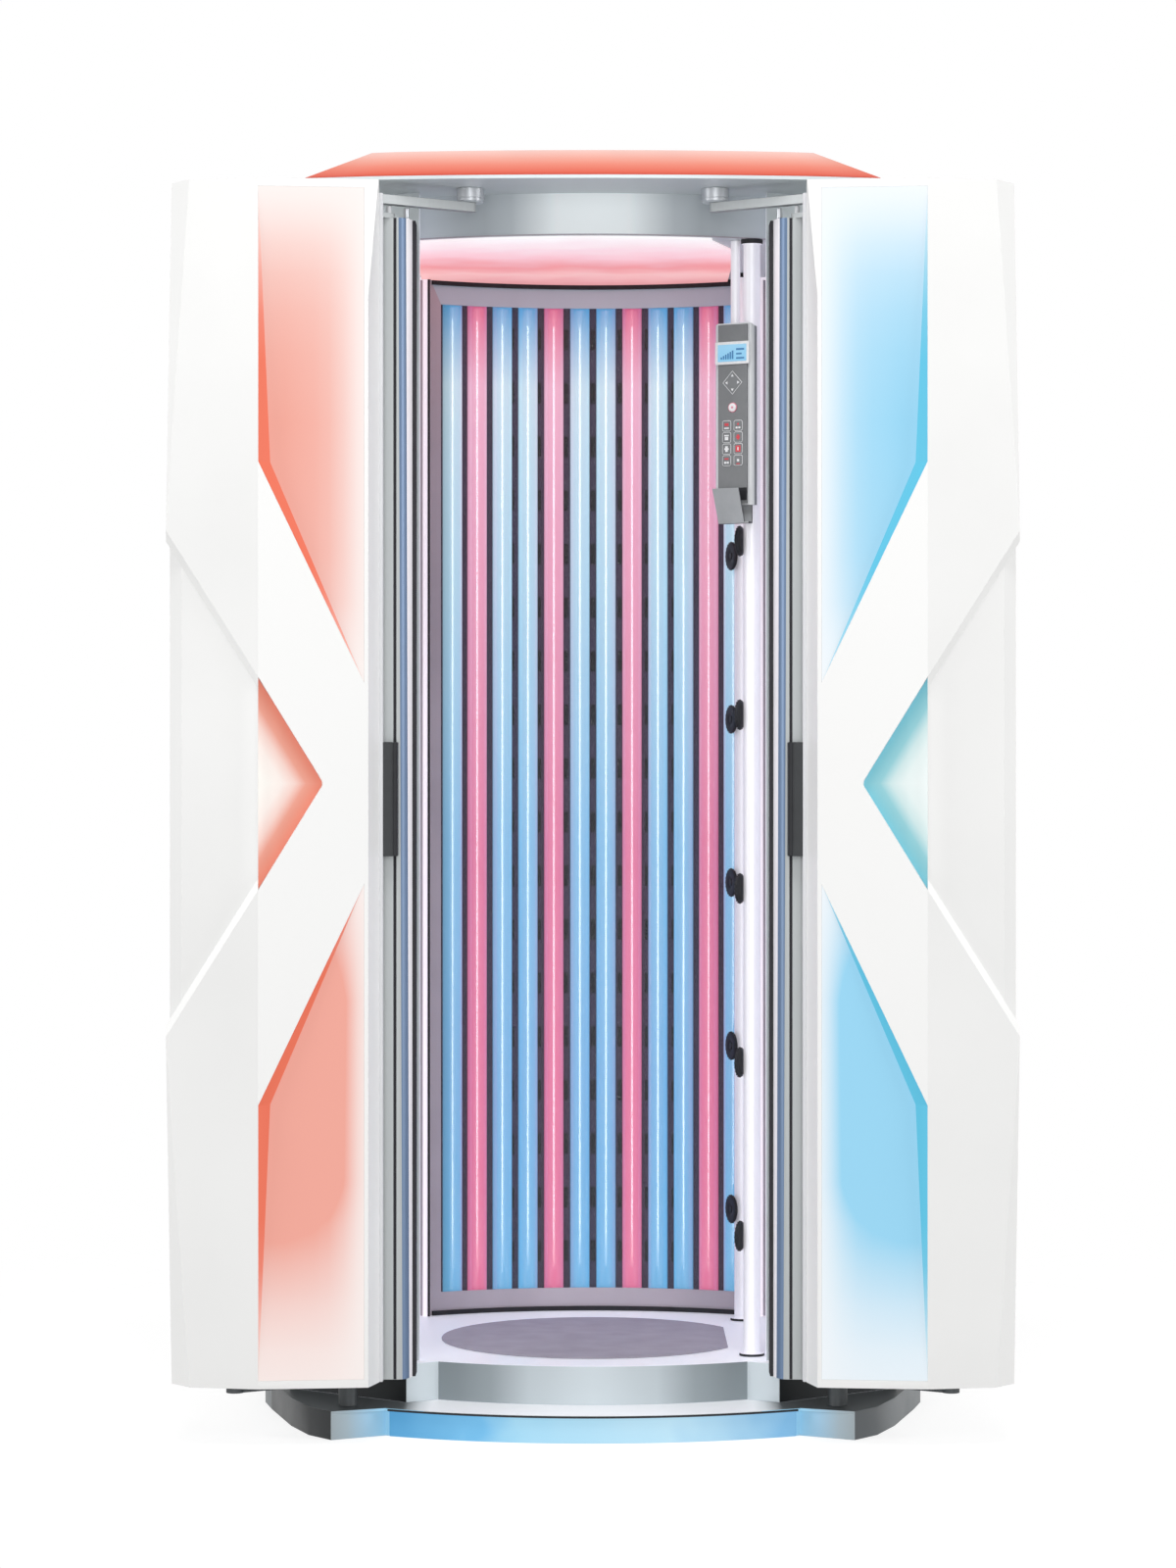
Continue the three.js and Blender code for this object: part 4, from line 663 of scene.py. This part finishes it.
# inner faces of the wings: painted blue glow from the base panel
paintFaces(base, 2, lambda centre, normal: abs(normal.z) < 0.5 and centre.y < -0.5 and 0.3 < abs(centre.x) < 0.4535)
paintFaces(base, 3, lambda centre, normal: abs(normal.z) < 0.5 and abs(centre.x) > 0.4535)
# right flank, sides and back take the lighter paint; on the right flank it is painted light
paintFaces(base, 4, lambda centre, normal: abs(normal.z) < 0.5 and (centre.x > 0.4535 or centre.y > -0.2))
finishPiece(base, "booth", ("base_plinth",))

platform = copyNode("platform", "platformDeck")
roundEdges(platform, 0.0015)
wear(platform, paleCoat, riserReflectionCoat, silverCoat, graphite)
# front of the riser: painted reflection, darker towards the ends
paintFaces(platform, 1, lambda centre, normal: abs(normal.z) < 0.5 and centre.y < -0.2)
paintFaces(platform, 2, lambda centre, normal: abs(normal.z) < 0.5 and centre.y < -0.2 and abs(centre.x) > entrySetup["cheek"])
# outer faces of the platform painted graphite: painted shade under the doors
paintFaces(platform, 3, lambda centre, normal: abs(normal.z) < 0.5 and abs(centre.x) > entrySetup["flank"])
finishPiece(platform, "booth", ("platform",))

# black rubber lip, drawn dark where the ledge's edge casts a shadow gap over the glow panel, so it is partly painted
# shade
lip = addSweep("baseLip", [(r, z) for r, z in zip((entrySetup["lipRadius"][0], entrySetup["lipRadius"][1],
                                                   entrySetup["lipRadius"][1], entrySetup["lipRadius"][0]),
                                                  (entrySetup["lipRise"][0], entrySetup["lipRise"][0],
                                                   entrySetup["lipRise"][1], entrySetup["lipRise"][1]))],
               entrySetup["lipCentre"], 270 - entrySetup["lipTurn"], 270 + entrySetup["lipTurn"], 40)
roundEdges(lip, 0.0006)
wear(lip, sealRubber)
finishPiece(lip, "booth")
print("base and entry made")


# cabin walls: pale post and wall, a white flange beside the lamps with a painted glow, and a violet strip in its corner
# that paints the shade there
wallSetup = {"flangeY": 0.178, "postY": -0.398, "postX": 0.34, "trim": ((-0.3305, 0.1778, 0.1192), (-0.3258, 0.1812, 2.1020))}
# white gloss coat of the flange with a painted glow, to lift it in the shade of the cabin
glowWhiteCoat = addSurface(startMaterial("white gloss coat on steel, painted glow", "#f5eff5", 0.3),
                       "#f2ebf2", "#f8f3f8", 0.2, (0.24, 0.34), 0.002, 0.00002)
glowWhiteShader = glowWhiteCoat.node_tree.nodes["Principled BSDF"]
glowWhiteShader.inputs["Emission Color"].default_value = toLinear("#f9eef9")
glowWhiteShader.inputs["Emission Strength"].default_value = 0.5

for side, sign in (("left", 1), ("right", -1)):
    wall = copyNode(side + "_side_wall", side + "SideWall")
    roundEdges(wall, 0.001)
    wear(wall, paleCoat, glowWhiteCoat, postGlowCoat, greyCoat)
    paintFaces(wall, 3, lambda centre, normal: normal.x * sign < -0.3)
    # doorway posts: coat with a painted glow
    paintFaces(wall, 2, lambda centre, normal: centre.y < wallSetup["postY"]
               or normal.y < -0.5 and abs(centre.x) < wallSetup["postX"])
    # the flange beside the lamps: white coat with a painted glow
    paintFaces(wall, 1, lambda centre, normal: centre.y > wallSetup["flangeY"] and normal.x * sign > -0.3)
    finishPiece(wall, "booth", (side + "_side_wall",))

    # violet strip in the corner between wall and flange: painted shade
    trim = addBlock(side + "WallCornerShade", *onSide(sign, *wallSetup["trim"]))
    roundEdges(trim, 0.0006)
    wear(trim, violetEnamel)
    finishPiece(trim, "booth")
print("cabin walls made")


# rear lamp housing: violet frame, inside painted dark as shade, black gaskets round it and vent slots between the tubes
# painted black as shade
housingSetup = {"centre": (0, -0.360), "inside": (0.6405, 0.7035), "gasket": (0.6262, 0.6318), "turn": 29.3,
                "topGasket": (2.0945, 2.1064), "lowGasket": (0.1186, 0.127), "corner": (-0.3163, 0.172), "band": 2.05, "cornerSize": (0.0044, 0.012),
                "slotSize": (0.009, 0.003, 0.040), "slotRadius": 0.6985, "slotTop": 2.0047, "slotPitch": 0.1046,
                "slotRows": 18, "slotColumns": 3, "tubePitch": 4.36}

housing = copyNode("rear_lamp_housing", "lampHousing")
roundEdges(housing, 0.001)
wear(housing, violetEnamel, gapShadeEnamel, bandEnamel)
# band over the tubes: enamel painted bluer against the pink ceiling light
paintFaces(housing, 2, lambda centre, normal: centre.z > housingSetup["band"])
# faces behind the tubes: painted shade
paintFaces(housing, 1, lambda centre, normal: housingSetup["inside"][0]
           < math.hypot(centre.x, centre.y - housingSetup["centre"][1]) < housingSetup["inside"][1])
finishPiece(housing, "booth", ("rear_lamp_housing",))

for name, (low, high) in (("topGasket", housingSetup["topGasket"]), ("lowGasket", housingSetup["lowGasket"])):
    near, far = housingSetup["gasket"]
    gasket = addSweep(name, ((near, low), (far, low), (far, high), (near, high)), housingSetup["centre"],
                      90 - housingSetup["turn"], 90 + housingSetup["turn"], 36)
    roundEdges(gasket, 0.001)
    wear(gasket, sealRubber)
    finishPiece(gasket, "booth")
for side, sign in (("left", 1), ("right", -1)):
    x, y = housingSetup["corner"]
    wide, deep = housingSetup["cornerSize"]
    gasket = addBlock(side + "Gasket", *onSide(sign, (x, y, 0.1186), (x + wide, y + deep, 2.1064)))
    roundEdges(gasket, 0.001)
    wear(gasket, sealRubber)
    finishPiece(gasket, "booth")

# vent slots drawn as black blocks: painted shade
wide, deep, tall = housingSetup["slotSize"]
top = housingSetup["slotTop"]
slot = addSlab("ventSlot", (-wide / 2, -deep / 2, top - tall / 2), (wide / 2, deep / 2, top + tall / 2), 0.002, 1)
useModifier(slot, "ARRAY", count=housingSetup["slotRows"], use_relative_offset=False, use_constant_offset=True,
            constant_offset_displace=(0, 0, -housingSetup["slotPitch"]))
columns = []
for column in range(-housingSetup["slotColumns"], housingSetup["slotColumns"] + 1):
    spot = Matrix.Translation((*housingSetup["centre"], 0))
    spot @= Matrix.Rotation(math.radians(column * housingSetup["tubePitch"]), 4, "Z")
    spot @= Matrix.Translation((0, housingSetup["slotRadius"], 0))
    columns.append(copyPiece(slot, "ventSlots", spot))
bpy.data.objects.remove(slot)
slots = joinPieces(columns)
slots.name = "ventSlots"
wear(slots, slotShade)
finishPiece(slots, "booth")
print("lamp housing made")


# rear tubes: glass with an aluminium cap at each end
tubeSetup = {"glass": 0.019, "cap": 0.0186, "capLength": 0.022, "end": 0.015}

for index in range(1, 13):
    node = "rear_lamp_%02d" % index
    low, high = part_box(node)
    centre = (low + high) / 2
    half = (high.z - low.z) / 2
    caps = ((tubeSetup["end"], half), (tubeSetup["cap"], half - 0.002), (tubeSetup["cap"], half - tubeSetup["capLength"]),
            (tubeSetup["glass"], half - tubeSetup["capLength"] - 0.001))
    tube = addTurned("rearTube%02d" % index, [(r, -z) for r, z in caps] + [(r, z) for r, z in reversed(caps)], 40)
    pink = index % 3 == 2
    wear(tube, pinkTube if pink else blueTube, polished)
    paintFaces(tube, 1, lambda place, normal: abs(place.z) > half - tubeSetup["capLength"] - 0.0015)
    placePiece(tube, Matrix.Translation(centre))
    finishPiece(tube, "booth", (node,))
print("tubes made")


# canopy: grey soffit, pale fascia with painted light in the middle and painted shade towards the arms, a dark trim
# under it, turned boss covers
canopySetup = {"boss": (-0.215, -0.474), "bossRings": ((0.0215, 2.1572), (0.0245, 2.1582), (0.0245, 2.1625), (0.0238, 2.1630),
                                                       (0.0238, 2.1640), (0.0245, 2.1645), (0.0245, 2.1800), (0.0235, 2.1808)),
               "trimCentre": (0, 0.356), "trimRadius": (0.7795, 0.7806), "trimRise": (2.1068, 2.1092), "trimTurn": 24.3, "fasciaRise": (2.107, 2.181)}

canopy = copyNode("canopy_frame", "canopyFrame")
roundEdges(canopy, 0.001)
wear(canopy, greyCoat, fasciaShadeCoat)
# fascia faces: painted light and shade across the front
paintFaces(canopy, 1, lambda centre, normal: normal.y < -0.5 and canopySetup["fasciaRise"][0] < centre.z < canopySetup["fasciaRise"][1])
finishPiece(canopy, "booth", ("canopy_frame",))
for side, sign in (("left", 1), ("right", -1)):
    boss = addTurned(side + "ArmBoss", canopySetup["bossRings"], 64)
    x, y = canopySetup["boss"]
    placePiece(boss, Matrix.Translation((sign * x, y, 0)))
    wear(boss, polished)
    finishPiece(boss, "booth")
near, far = canopySetup["trimRadius"]
low, high = canopySetup["trimRise"]
trim = addSweep("fasciaTrim", ((near, low), (far, low), (far, high), (near, high)), canopySetup["trimCentre"],
                270 - canopySetup["trimTurn"], 270 + canopySetup["trimTurn"], 30)
wear(trim, violetEnamel)
finishPiece(trim, "booth")
print("canopy made")


# doors: shell, lit panel, edge profile with seam and seal, grip, hinge posts, lamp bank and arms
doorSetup = {"shellEdge": 0.0012, "profileEdge": 0.0008, "armEdge": 0.0012, "wallTilt": 0.93, "facing": (0.1116, -0.9937, 0),
             "low": 0.1044, "high": 2.1176, "seam": ((-0.3458, -0.5663), (-0.3405, -0.563)),
             "seal": ((-0.3158, -0.531), (-0.3086, -0.4805)), "noseReflectionEdge": 0.3335, "noseHighlightEdge": 0.3212, "bead": ((-0.3690, -0.6004, 0.1046), (-0.3624, -0.5750, 2.1560)),
             "whitePost": (-0.3545, -0.560), "silverPost": (-0.3250, -0.532), "postTop": 2.1388}

for side, sign, slot, sheets in (("left", 1, "coral_acrylic", (coralSheet, coralRim, coralDiamond)),
                                 ("right", -1, "blue_acrylic", (blueSheet, blueRim, blueDiamond))):
    door = side + "_door"
    shell = copyNode(door + "_shell", side + "DoorShell")
    roundEdges(shell, doorSetup["shellEdge"], 3)
    wear(shell, whiteAbs)
    finishPiece(shell, door, (door + "_shell",))

    panel = copyNode(door + "_light_panel", side + "DoorPanel")
    wear(panel, *sheets)
    facing = Vector((doorSetup["facing"][0] * sign, *doorSetup["facing"][1:]))
    paintFaces(panel, 1, lambda centre, normal: 0.2 < normal.dot(facing) < doorSetup["wallTilt"])
    paintFaces(panel, 2, lambda centre, normal: normal.dot(facing) > 0.99
               and abs(centre.z - doorGlow["mid"]) < doorGlow["tall"] and abs(centre.x) > doorGlow["crease"] - doorGlow["wide"])
    finishPiece(panel, door, (door + "_light_panel",), 20)

    profile = copyNode(door + "_edge_profile", side + "EdgeProfile")
    roundEdges(profile, doorSetup["profileEdge"])
    wear(profile, anodised, anodisedReflection, anodisedHighlight)
    # bullnose painted darker and bluish: painted shade and reflection
    paintFaces(profile, 1, lambda centre, normal: abs(centre.x) < doorSetup["noseReflectionEdge"])
    # tip of the nose painted pale: painted highlight
    paintFaces(profile, 2, lambda centre, normal: abs(centre.x) < doorSetup["noseHighlightEdge"])
    finishPiece(profile, door, (door + "_edge_profile",))
    # bead between shell and profile, painted darker: painted shade
    bead = addBlock(side + "DoorBead", *onSide(sign, *doorSetup["bead"]))
    roundEdges(bead, 0.0012, 3)
    wear(bead, beadShadeAbs)
    finishPiece(bead, door)
    for name, width in (("seam", 0.0004), ("seal", 0.0015)):
        near, far = doorSetup[name]
        strip = addBlock(side + "Door" + name.title(), *onSide(sign, (*near, doorSetup["low"]), (*far, doorSetup["high"])))
        roundEdges(strip, width, 3)
        wear(strip, sealRubber)
        finishPiece(strip, door)

    low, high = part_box(door + "_handle")
    split = 0.7 if sign > 0 else 0.3
    middle = low.x + split * (high.x - low.x)
    outer = addBlock(side + "GripOuter", (low.x, low.y, low.z), (middle, high.y, high.z))
    inner = addBlock(side + "GripInner", (middle, low.y, low.z), (high.x, high.y, high.z))
    for half, tone in ((outer, darkAbsAndShade if sign > 0 else blackAbs), (inner, blackAbs if sign > 0 else darkAbsAndShade)):
        selectFaces(half, lambda centre, normal: normal.y < -0.9)
        bpy.ops.mesh.inset(thickness=0.003, depth=0.0)
        bpy.ops.transform.translate(value=(0, 0.001, 0))
        bpy.ops.object.mode_set(mode="OBJECT")
        roundEdges(half, 0.0014, 3)
        wear(half, tone)
    grip = joinPieces([outer, inner])
    grip.name = side + "DoorGrip"
    finishPiece(grip, door, (door + "_handle",))

    posts = []
    for name, radius, tone in (("whitePost", 0.0045, greyAbs), ("silverPost", 0.005, polished)):
        base = doorSetup["high"] + 0.0004
        rings = ((radius + 0.0015, base), (radius + 0.0015, base + 0.003), (radius, base + 0.004),
                 (radius, doorSetup["postTop"] - 0.001), (radius - 0.001, doorSetup["postTop"]))
        post = addTurned(side + "HingePost", rings, 24)
        x, y = doorSetup[name]
        placePiece(post, Matrix.Translation((sign * x, y, 0)))
        wear(post, tone)
        posts.append(post)
    post = joinPieces(posts)
    post.name = side + "HingePosts"
    finishPiece(post, door)

    bank = copyNode(door + "_lamp_bank", side + "LampBank")
    wear(bank, whiteAbs)
    finishPiece(bank, door, (door + "_lamp_bank",))

    for arm, tone in (("top_arm", anodised), ("lower_arm", blackSteel)):
        bar = copyNode(side + "_" + arm, side + arm.title().replace("_", ""))
        roundEdges(bar, doorSetup["armEdge"])
        wear(bar, tone)
        finishPiece(bar, side + "_" + arm + "_body", (side + "_" + arm,))
print("doors made")


# upright tubes: stainless, with black collars
uprights = {"grab_pole": ("grabPole", (0.28337, -0.363)), "nozzle_column": ("nozzleColumn", (0.28397, 0.12602))}
uprightSetup = {"radius": 0.015, "collar": 0.0225, "low": 0.1184, "high": 2.1066, "foot": 0.004, "head": 0.0082}

for node, (name, place) in uprights.items():
    tubeRadius, collar, foot, head = (uprightSetup[key] for key in ("radius", "collar", "low", "high"))
    footTop = foot + uprightSetup["foot"]
    headLow = head - uprightSetup["head"]
    tube = addTurned(name, [(collar, foot), (collar, footTop - 0.001), (collar - 0.001, footTop), (tubeRadius, footTop + 0.0002),
                            (tubeRadius, headLow - 0.0002), (collar - 0.004, headLow), (collar - 0.003, headLow + 0.001),
                            (collar - 0.003, head)], 64)
    placePiece(tube, Matrix.Translation((*place, 0)))
    wear(tube, stainless, blackAbs)
    paintFaces(tube, 1, lambda centre, normal: centre.z < footTop + 0.0001 or centre.z > headLow - 0.0001)
    finishPiece(tube, "booth", (node,))
print("upright tubes made")


# air nozzles: a flat ribbed disc with a sunk outlet, turning on the column and fixed on the pole
nozzleSetup = {"lowest": 0.330, "pitch": 0.310, "count": 5, "turns": {"nozzle_column": 200, "grab_pole": 160}, "ribs": 20,
               "rib": ((0.0204, -0.0011, 0.0255), (0.0246, 0.0011, 0.0272)),
               "rings": ((0.0150, 0.0175), (0.0222, 0.0183), (0.0256, 0.0198), (0.0264, 0.0210), (0.0264, 0.0232),
                         (0.0254, 0.0243), (0.0236, 0.0251), (0.0140, 0.0253), (0.0105, 0.0236), (0.0070, 0.0234),
                         (0.0062, 0.0248), (0.0040, 0.0251))}

nozzle = addTurned("airNozzle", nozzleSetup["rings"], 40)
placePiece(nozzle, Matrix.Rotation(math.radians(90), 4, "Y"))
parts = [nozzle]
for index in range(nozzleSetup["ribs"]):
    rib = addBlock("rib", *nozzleSetup["rib"])
    roundEdges(rib, 0.0005)
    parts.append(placePiece(rib, Matrix.Rotation(2 * math.pi * index / nozzleSetup["ribs"], 4, "X")))
nozzle = joinPieces(parts)
wear(nozzle, blackAbs)
for node, turn in nozzleSetup["turns"].items():
    fixed = node == "grab_pole"
    for index in range(1, nozzleSetup["count"] + 1):
        spot = Matrix.Translation((*uprights[node][1], nozzleSetup["lowest"] + (index - 1) * nozzleSetup["pitch"]))
        copy = copyPiece(nozzle, ("poleNozzle%d" if fixed else "airNozzle%d") % index, spot @ Matrix.Rotation(math.radians(turn), 4, "Z"))
        if fixed:
            finishPiece(copy, "booth")
        else:
            finishPiece(copy, "air_nozzle_%d_body" % index, ("air_nozzle_%d" % index,))
bpy.data.objects.remove(nozzle)
print("air nozzles made")


# control unit: modelled in its own frame, front towards -Y, top edge at z = 0
unitSetup = {"place": (0.24897, -0.410, 1.953), "turn": -30, "shoulder": 0.030, "round": 0.0095, "conduit": (0.25477, -0.345), "conduitReach": 0.0095,
             "display": ((-0.034, -0.0054, -0.0735), (0.034, -0.0036, -0.0335)), "glass": ((-0.0285, -0.0060, -0.0685), (0.0285, -0.0052, -0.0385)),
             "bars": 6, "barPitch": 0.0045, "slot": ((0.003, -0.0046, -0.3145), (0.0288, -0.0036, -0.2925))}
unitFrame = Matrix.Translation(unitSetup["place"]) @ Matrix.Rotation(math.radians(unitSetup["turn"]), 4, "Z")
toUnit = unitFrame.inverted()
faceOut = Matrix.Rotation(math.radians(90), 4, "X")

control = copyNode("control_housing", "controlHousing")
for vertex in control.data.vertices:
    place = toUnit @ vertex.co
    past = abs(place.x) - unitSetup["shoulder"]
    if abs(place.z) < 0.0001 and past > 0:
        reach = unitSetup["round"]
        place.z -= reach - math.sqrt(max(0, reach ** 2 - past ** 2))
        vertex.co = unitFrame @ place
roundEdges(control, 0.0012, 3)
wear(control, greyAbs, unitShadeAbs, stainless, trayPaint, darkAbsAndShade)


def unitNormal(normal):
    return toUnit.to_3x3() @ normal


# flank and back of the unit painted mid grey: painted shade
paintFaces(control, 1, lambda centre, normal: unitNormal(normal).x > 0.9 or unitNormal(normal).y > 0.55)
paintFaces(control, 3, lambda centre, normal: (toUnit @ centre).z < -0.293
           and ((toUnit @ centre).y < -0.003 or (toUnit @ centre).z < -0.3235) and unitNormal(normal).y < -0.5)
# sides of the tray painted dark: painted shade
paintFaces(control, 4, lambda centre, normal: (toUnit @ centre).z < -0.3235 and unitNormal(normal).y > -0.5)
paintFaces(control, 2, lambda centre, normal: math.hypot(centre.x - unitSetup["conduit"][0], centre.y - unitSetup["conduit"][1])
           < unitSetup["conduitReach"] and abs(normal.z) < 0.5)
finishPiece(control, "booth", ("control_housing",))

parts = [addSlab("display", *unitSetup["display"], 0.0015, 1)]
roundEdges(parts[0], 0.0004)
wear(parts[0], printWhite)
parts.append(addSlab("glass", *unitSetup["glass"], 0.001, 1))
roundEdges(parts[1], 0.0002)
wear(parts[1], displaySheet)
marks = [(-0.021 + bar * unitSetup["barPitch"], -0.0645, 0.003, 0.004 + 0.0022 * bar) for bar in range(unitSetup["bars"])]
marks += [(0.0165, -0.0475, 0.016, 0.0035), (0.0140, -0.0555, 0.011, 0.0030), (0.0165, -0.0632, 0.016, 0.0030)]
for x, z, wide, tall in marks:
    base = z if tall > 0.0036 and x < 0.006 else z - tall / 2
    mark = addSlab("mark", (x - wide / 2, -0.0063, base), (x + wide / 2, -0.0060, base + tall), 0.0005, 1, 2)
    wear(mark, printBlue)
    parts.append(mark)
display = joinPieces(parts)
display.name = "display"
placePiece(display, unitFrame)
finishPiece(display, "booth", ("display_lens",))

# black block on the plate above the tray: a painted shadow under the plate
slot = addSlab("unitShadowBlock", *unitSetup["slot"], 0.001, 1)
roundEdges(slot, 0.0003)
wear(slot, blackAbs)
placePiece(slot, unitFrame)
finishPiece(slot, "booth")
print("display made")


# navigation pad: a thin pale outline round a dark diamond, with four small marks
navSetup = {"drop": -0.106, "wide": 0.0195, "tall": 0.0212, "line": 0.0012, "mark": 0.0033, "reach": (0.0112, 0.0122)}
parts = []
for name, shrink, back, front, tone in (("outline", 0.0, 0.0010, 0.0042, printWhite), ("field", navSetup["line"], 0.0010, 0.0044, membrane)):
    wide = navSetup["wide"] - shrink
    diamond = addTurned(name, ((wide, back), (wide, front - 0.0002), (wide - 0.0002, front)), 4)
    stretch = Matrix.Diagonal((1, (navSetup["tall"] - shrink) / wide, 1, 1))
    placePiece(diamond, Matrix.Translation((0, 0, navSetup["drop"])) @ faceOut @ stretch)
    wear(diamond, tone)
    parts.append(diamond)
for x, z, turn in ((navSetup["reach"][0], 0, 0), (-navSetup["reach"][0], 0, 180), (0, navSetup["reach"][1], 90), (0, -navSetup["reach"][1], 270)):
    mark = addTurned("mark", ((navSetup["mark"], 0.0042), (navSetup["mark"], 0.0045), (navSetup["mark"] - 0.0001, 0.0046)), 3)
    spot = Matrix.Translation((x, 0, navSetup["drop"] + z)) @ faceOut @ Matrix.Rotation(math.radians(turn - 90), 4, "Z")
    placePiece(mark, spot)
    wear(mark, printWhite)
    parts.append(mark)
pad = joinPieces(parts)
pad.name = "navigationPad"
placePiece(pad, unitFrame)
finishPiece(pad, "nav_pad_body", ("nav_pad",), 20)

# start button: a pale domed cap in a pink ring
startSetup = {"drop": -0.150, "ring": ((0.0086, 0.0016), (0.0086, 0.0040), (0.0082, 0.0044), (0.0074, 0.0044)),
              "cap": ((0.0073, 0.0020), (0.0073, 0.0046), (0.0066, 0.0051), (0.0040, 0.0053)), "mark": ((0.0022, 0.0052), (0.0022, 0.0055))}
parts = []
for name, tone in (("ring", printPink), ("cap", printWhite), ("mark", printPink)):
    disc = addTurned(name, startSetup[name], 40)
    placePiece(disc, Matrix.Translation((0, 0, startSetup["drop"])) @ faceOut)
    wear(disc, tone)
    parts.append(disc)
button = joinPieces(parts)
button.name = "startButton"
placePiece(button, unitFrame)
finishPiece(button, "start_button_body", ("start_button",))

# keys: a pale outline round a dark field, each with its own plain mark
keySetup = {"drop": -0.172, "pitch": (0.023, 0.0205), "outline": (0.0174, 0.0190), "line": 0.0008, "corner": 0.0034}
keyMarks = (((0, 0.0022, 0.0080, 0.0048, printRed), (0, -0.0042, 0.0095, 0.0024, printWhite)),
            ((0, 0.0026, 0.0034, 0.0034, printRed), (-0.0027, -0.0038, 0.0042, 0.0032, printWhite), (0.0027, -0.0038, 0.0042, 0.0032, printWhite)),
            ((0, 0.0034, 0.0092, 0.0022, printWhite), (0, -0.0018, 0.0070, 0.0062, printWhite)),
            ((0, 0.0, 0.0046, 0.0090, printRed), (0, 0.0, 0.0080, 0.0030, printRed)),
            ((0, 0.0, 0.0050, 0.0100, printWhite), (0, 0.0, 0.0088, 0.0030, printWhite)),
            ((0, 0.0, 0.0098, 0.0112, printRed), (0, 0.0, 0.0024, 0.0060, printWhite)),
            ((0, 0.0030, 0.0080, 0.0026, printRed), (-0.0026, -0.0036, 0.0042, 0.0038, printWhite), (0.0026, -0.0036, 0.0042, 0.0038, printWhite)),
            ((0, 0.0, 0.0044, 0.0044, printWhite), (0, -0.0062, 0.0070, 0.0016, printRed)))
for index, keyMark in enumerate(keyMarks):
    x = (0.5 if index % 2 else -0.5) * keySetup["pitch"][0]
    z = keySetup["drop"] - keySetup["pitch"][1] * (index // 2 + 0.5)
    wide, tall = (length / 2 for length in keySetup["outline"])
    parts = []
    for shrink, front, tone in ((0, 0.0042, printWhite), (keySetup["line"], 0.0044, membrane)):
        slab = addSlab("key", (x - wide + shrink, -front, z - tall + shrink), (x + wide - shrink, -0.0012, z + tall - shrink),
                       keySetup["corner"] - shrink, 1)
        roundEdges(slab, 0.0002)
        wear(slab, tone)
        parts.append(slab)
    for lift, (dx, dz, markWide, markTall, tone) in enumerate(keyMark):
        front = 0.0046 + 0.00012 * lift
        mark = addSlab("mark", (x + dx - markWide / 2, -front, z + dz - markTall / 2),
                       (x + dx + markWide / 2, -0.0043, z + dz + markTall / 2), 0.0006, 1, 2)
        wear(mark, tone)
        parts.append(mark)
    key = joinPieces(parts)
    key.name = "key%d" % (index + 1)
    placePiece(key, unitFrame)
    finishPiece(key, "key_%d_body" % (index + 1), ("key_%d" % (index + 1),))
print("keys made")


# back of the body: seam covers with screws, and two fields of vent louvres
rearSetup = {"centre": (0, -0.04797), "radius": 0.5995, "seams": (-62, -21, 21, 62), "seamSize": (0.034, 0.004), "low": 0.056, "high": 2.174,
             "screwPitch": 0.35, "screw": ((0.0052, 0.0), (0.0052, 0.0012), (0.0040, 0.0024), (0.0018, 0.0030)),
             "fields": ((0.30, 8), (1.66, 10)), "louvrePitch": 0.028, "louvreTurn": 13,
             "louvre": ((0.598, 0.0), (0.6066, -0.0080), (0.6066, -0.0100), (0.598, -0.0140))}

wide, deep = rearSetup["seamSize"]
strips = []
screws = []
for turn in rearSetup["seams"]:
    spot = Matrix.Translation((*rearSetup["centre"], 0)) @ Matrix.Rotation(math.radians(turn), 4, "Z")
    spot @= Matrix.Translation((0, rearSetup["radius"], 0))
    strip = addBlock("seam", (-wide / 2, 0, rearSetup["low"]), (wide / 2, deep, rearSetup["high"]))
    selectFaces(strip, lambda centre, normal: normal.y > 0.9)
    bpy.ops.mesh.inset(thickness=0.005)
    bpy.ops.transform.translate(value=(0, -0.0012, 0))
    bpy.ops.object.mode_set(mode="OBJECT")
    roundEdges(strip, 0.0008)
    strips.append(placePiece(strip, spot))
    rows = int((rearSetup["high"] - rearSetup["low"]) / rearSetup["screwPitch"])
    for row in range(rows + 1):
        head = addTurned("screw", rearSetup["screw"], 20)
        lift = Matrix.Translation((0, deep - 0.0014, rearSetup["low"] + 0.03 + row * rearSetup["screwPitch"]))
        screws.append(placePiece(head, spot @ lift @ Matrix.Rotation(math.radians(-90), 4, "X")))
strip = joinPieces(strips)
strip.name = "rearSeamCovers"
wear(strip, whiteAbs)
finishPiece(strip, "booth")
head = joinPieces(screws)
head.name = "rearScrews"
wear(head, zincSteel)
finishPiece(head, "booth")

for index, (low, rows) in enumerate(rearSetup["fields"]):
    blade = addSweep("rearLouvres%d" % (index + 1), [(r, low + z) for r, z in rearSetup["louvre"]], rearSetup["centre"],
                     90 - rearSetup["louvreTurn"], 90 + rearSetup["louvreTurn"], 20)
    useModifier(blade, "ARRAY", count=rows, use_relative_offset=False, use_constant_offset=True,
                constant_offset_displace=(0, 0, rearSetup["louvrePitch"]))
    roundEdges(blade, 0.0006)
    wear(blade, greyCoat)
    finishPiece(blade, "booth")
print("back made")
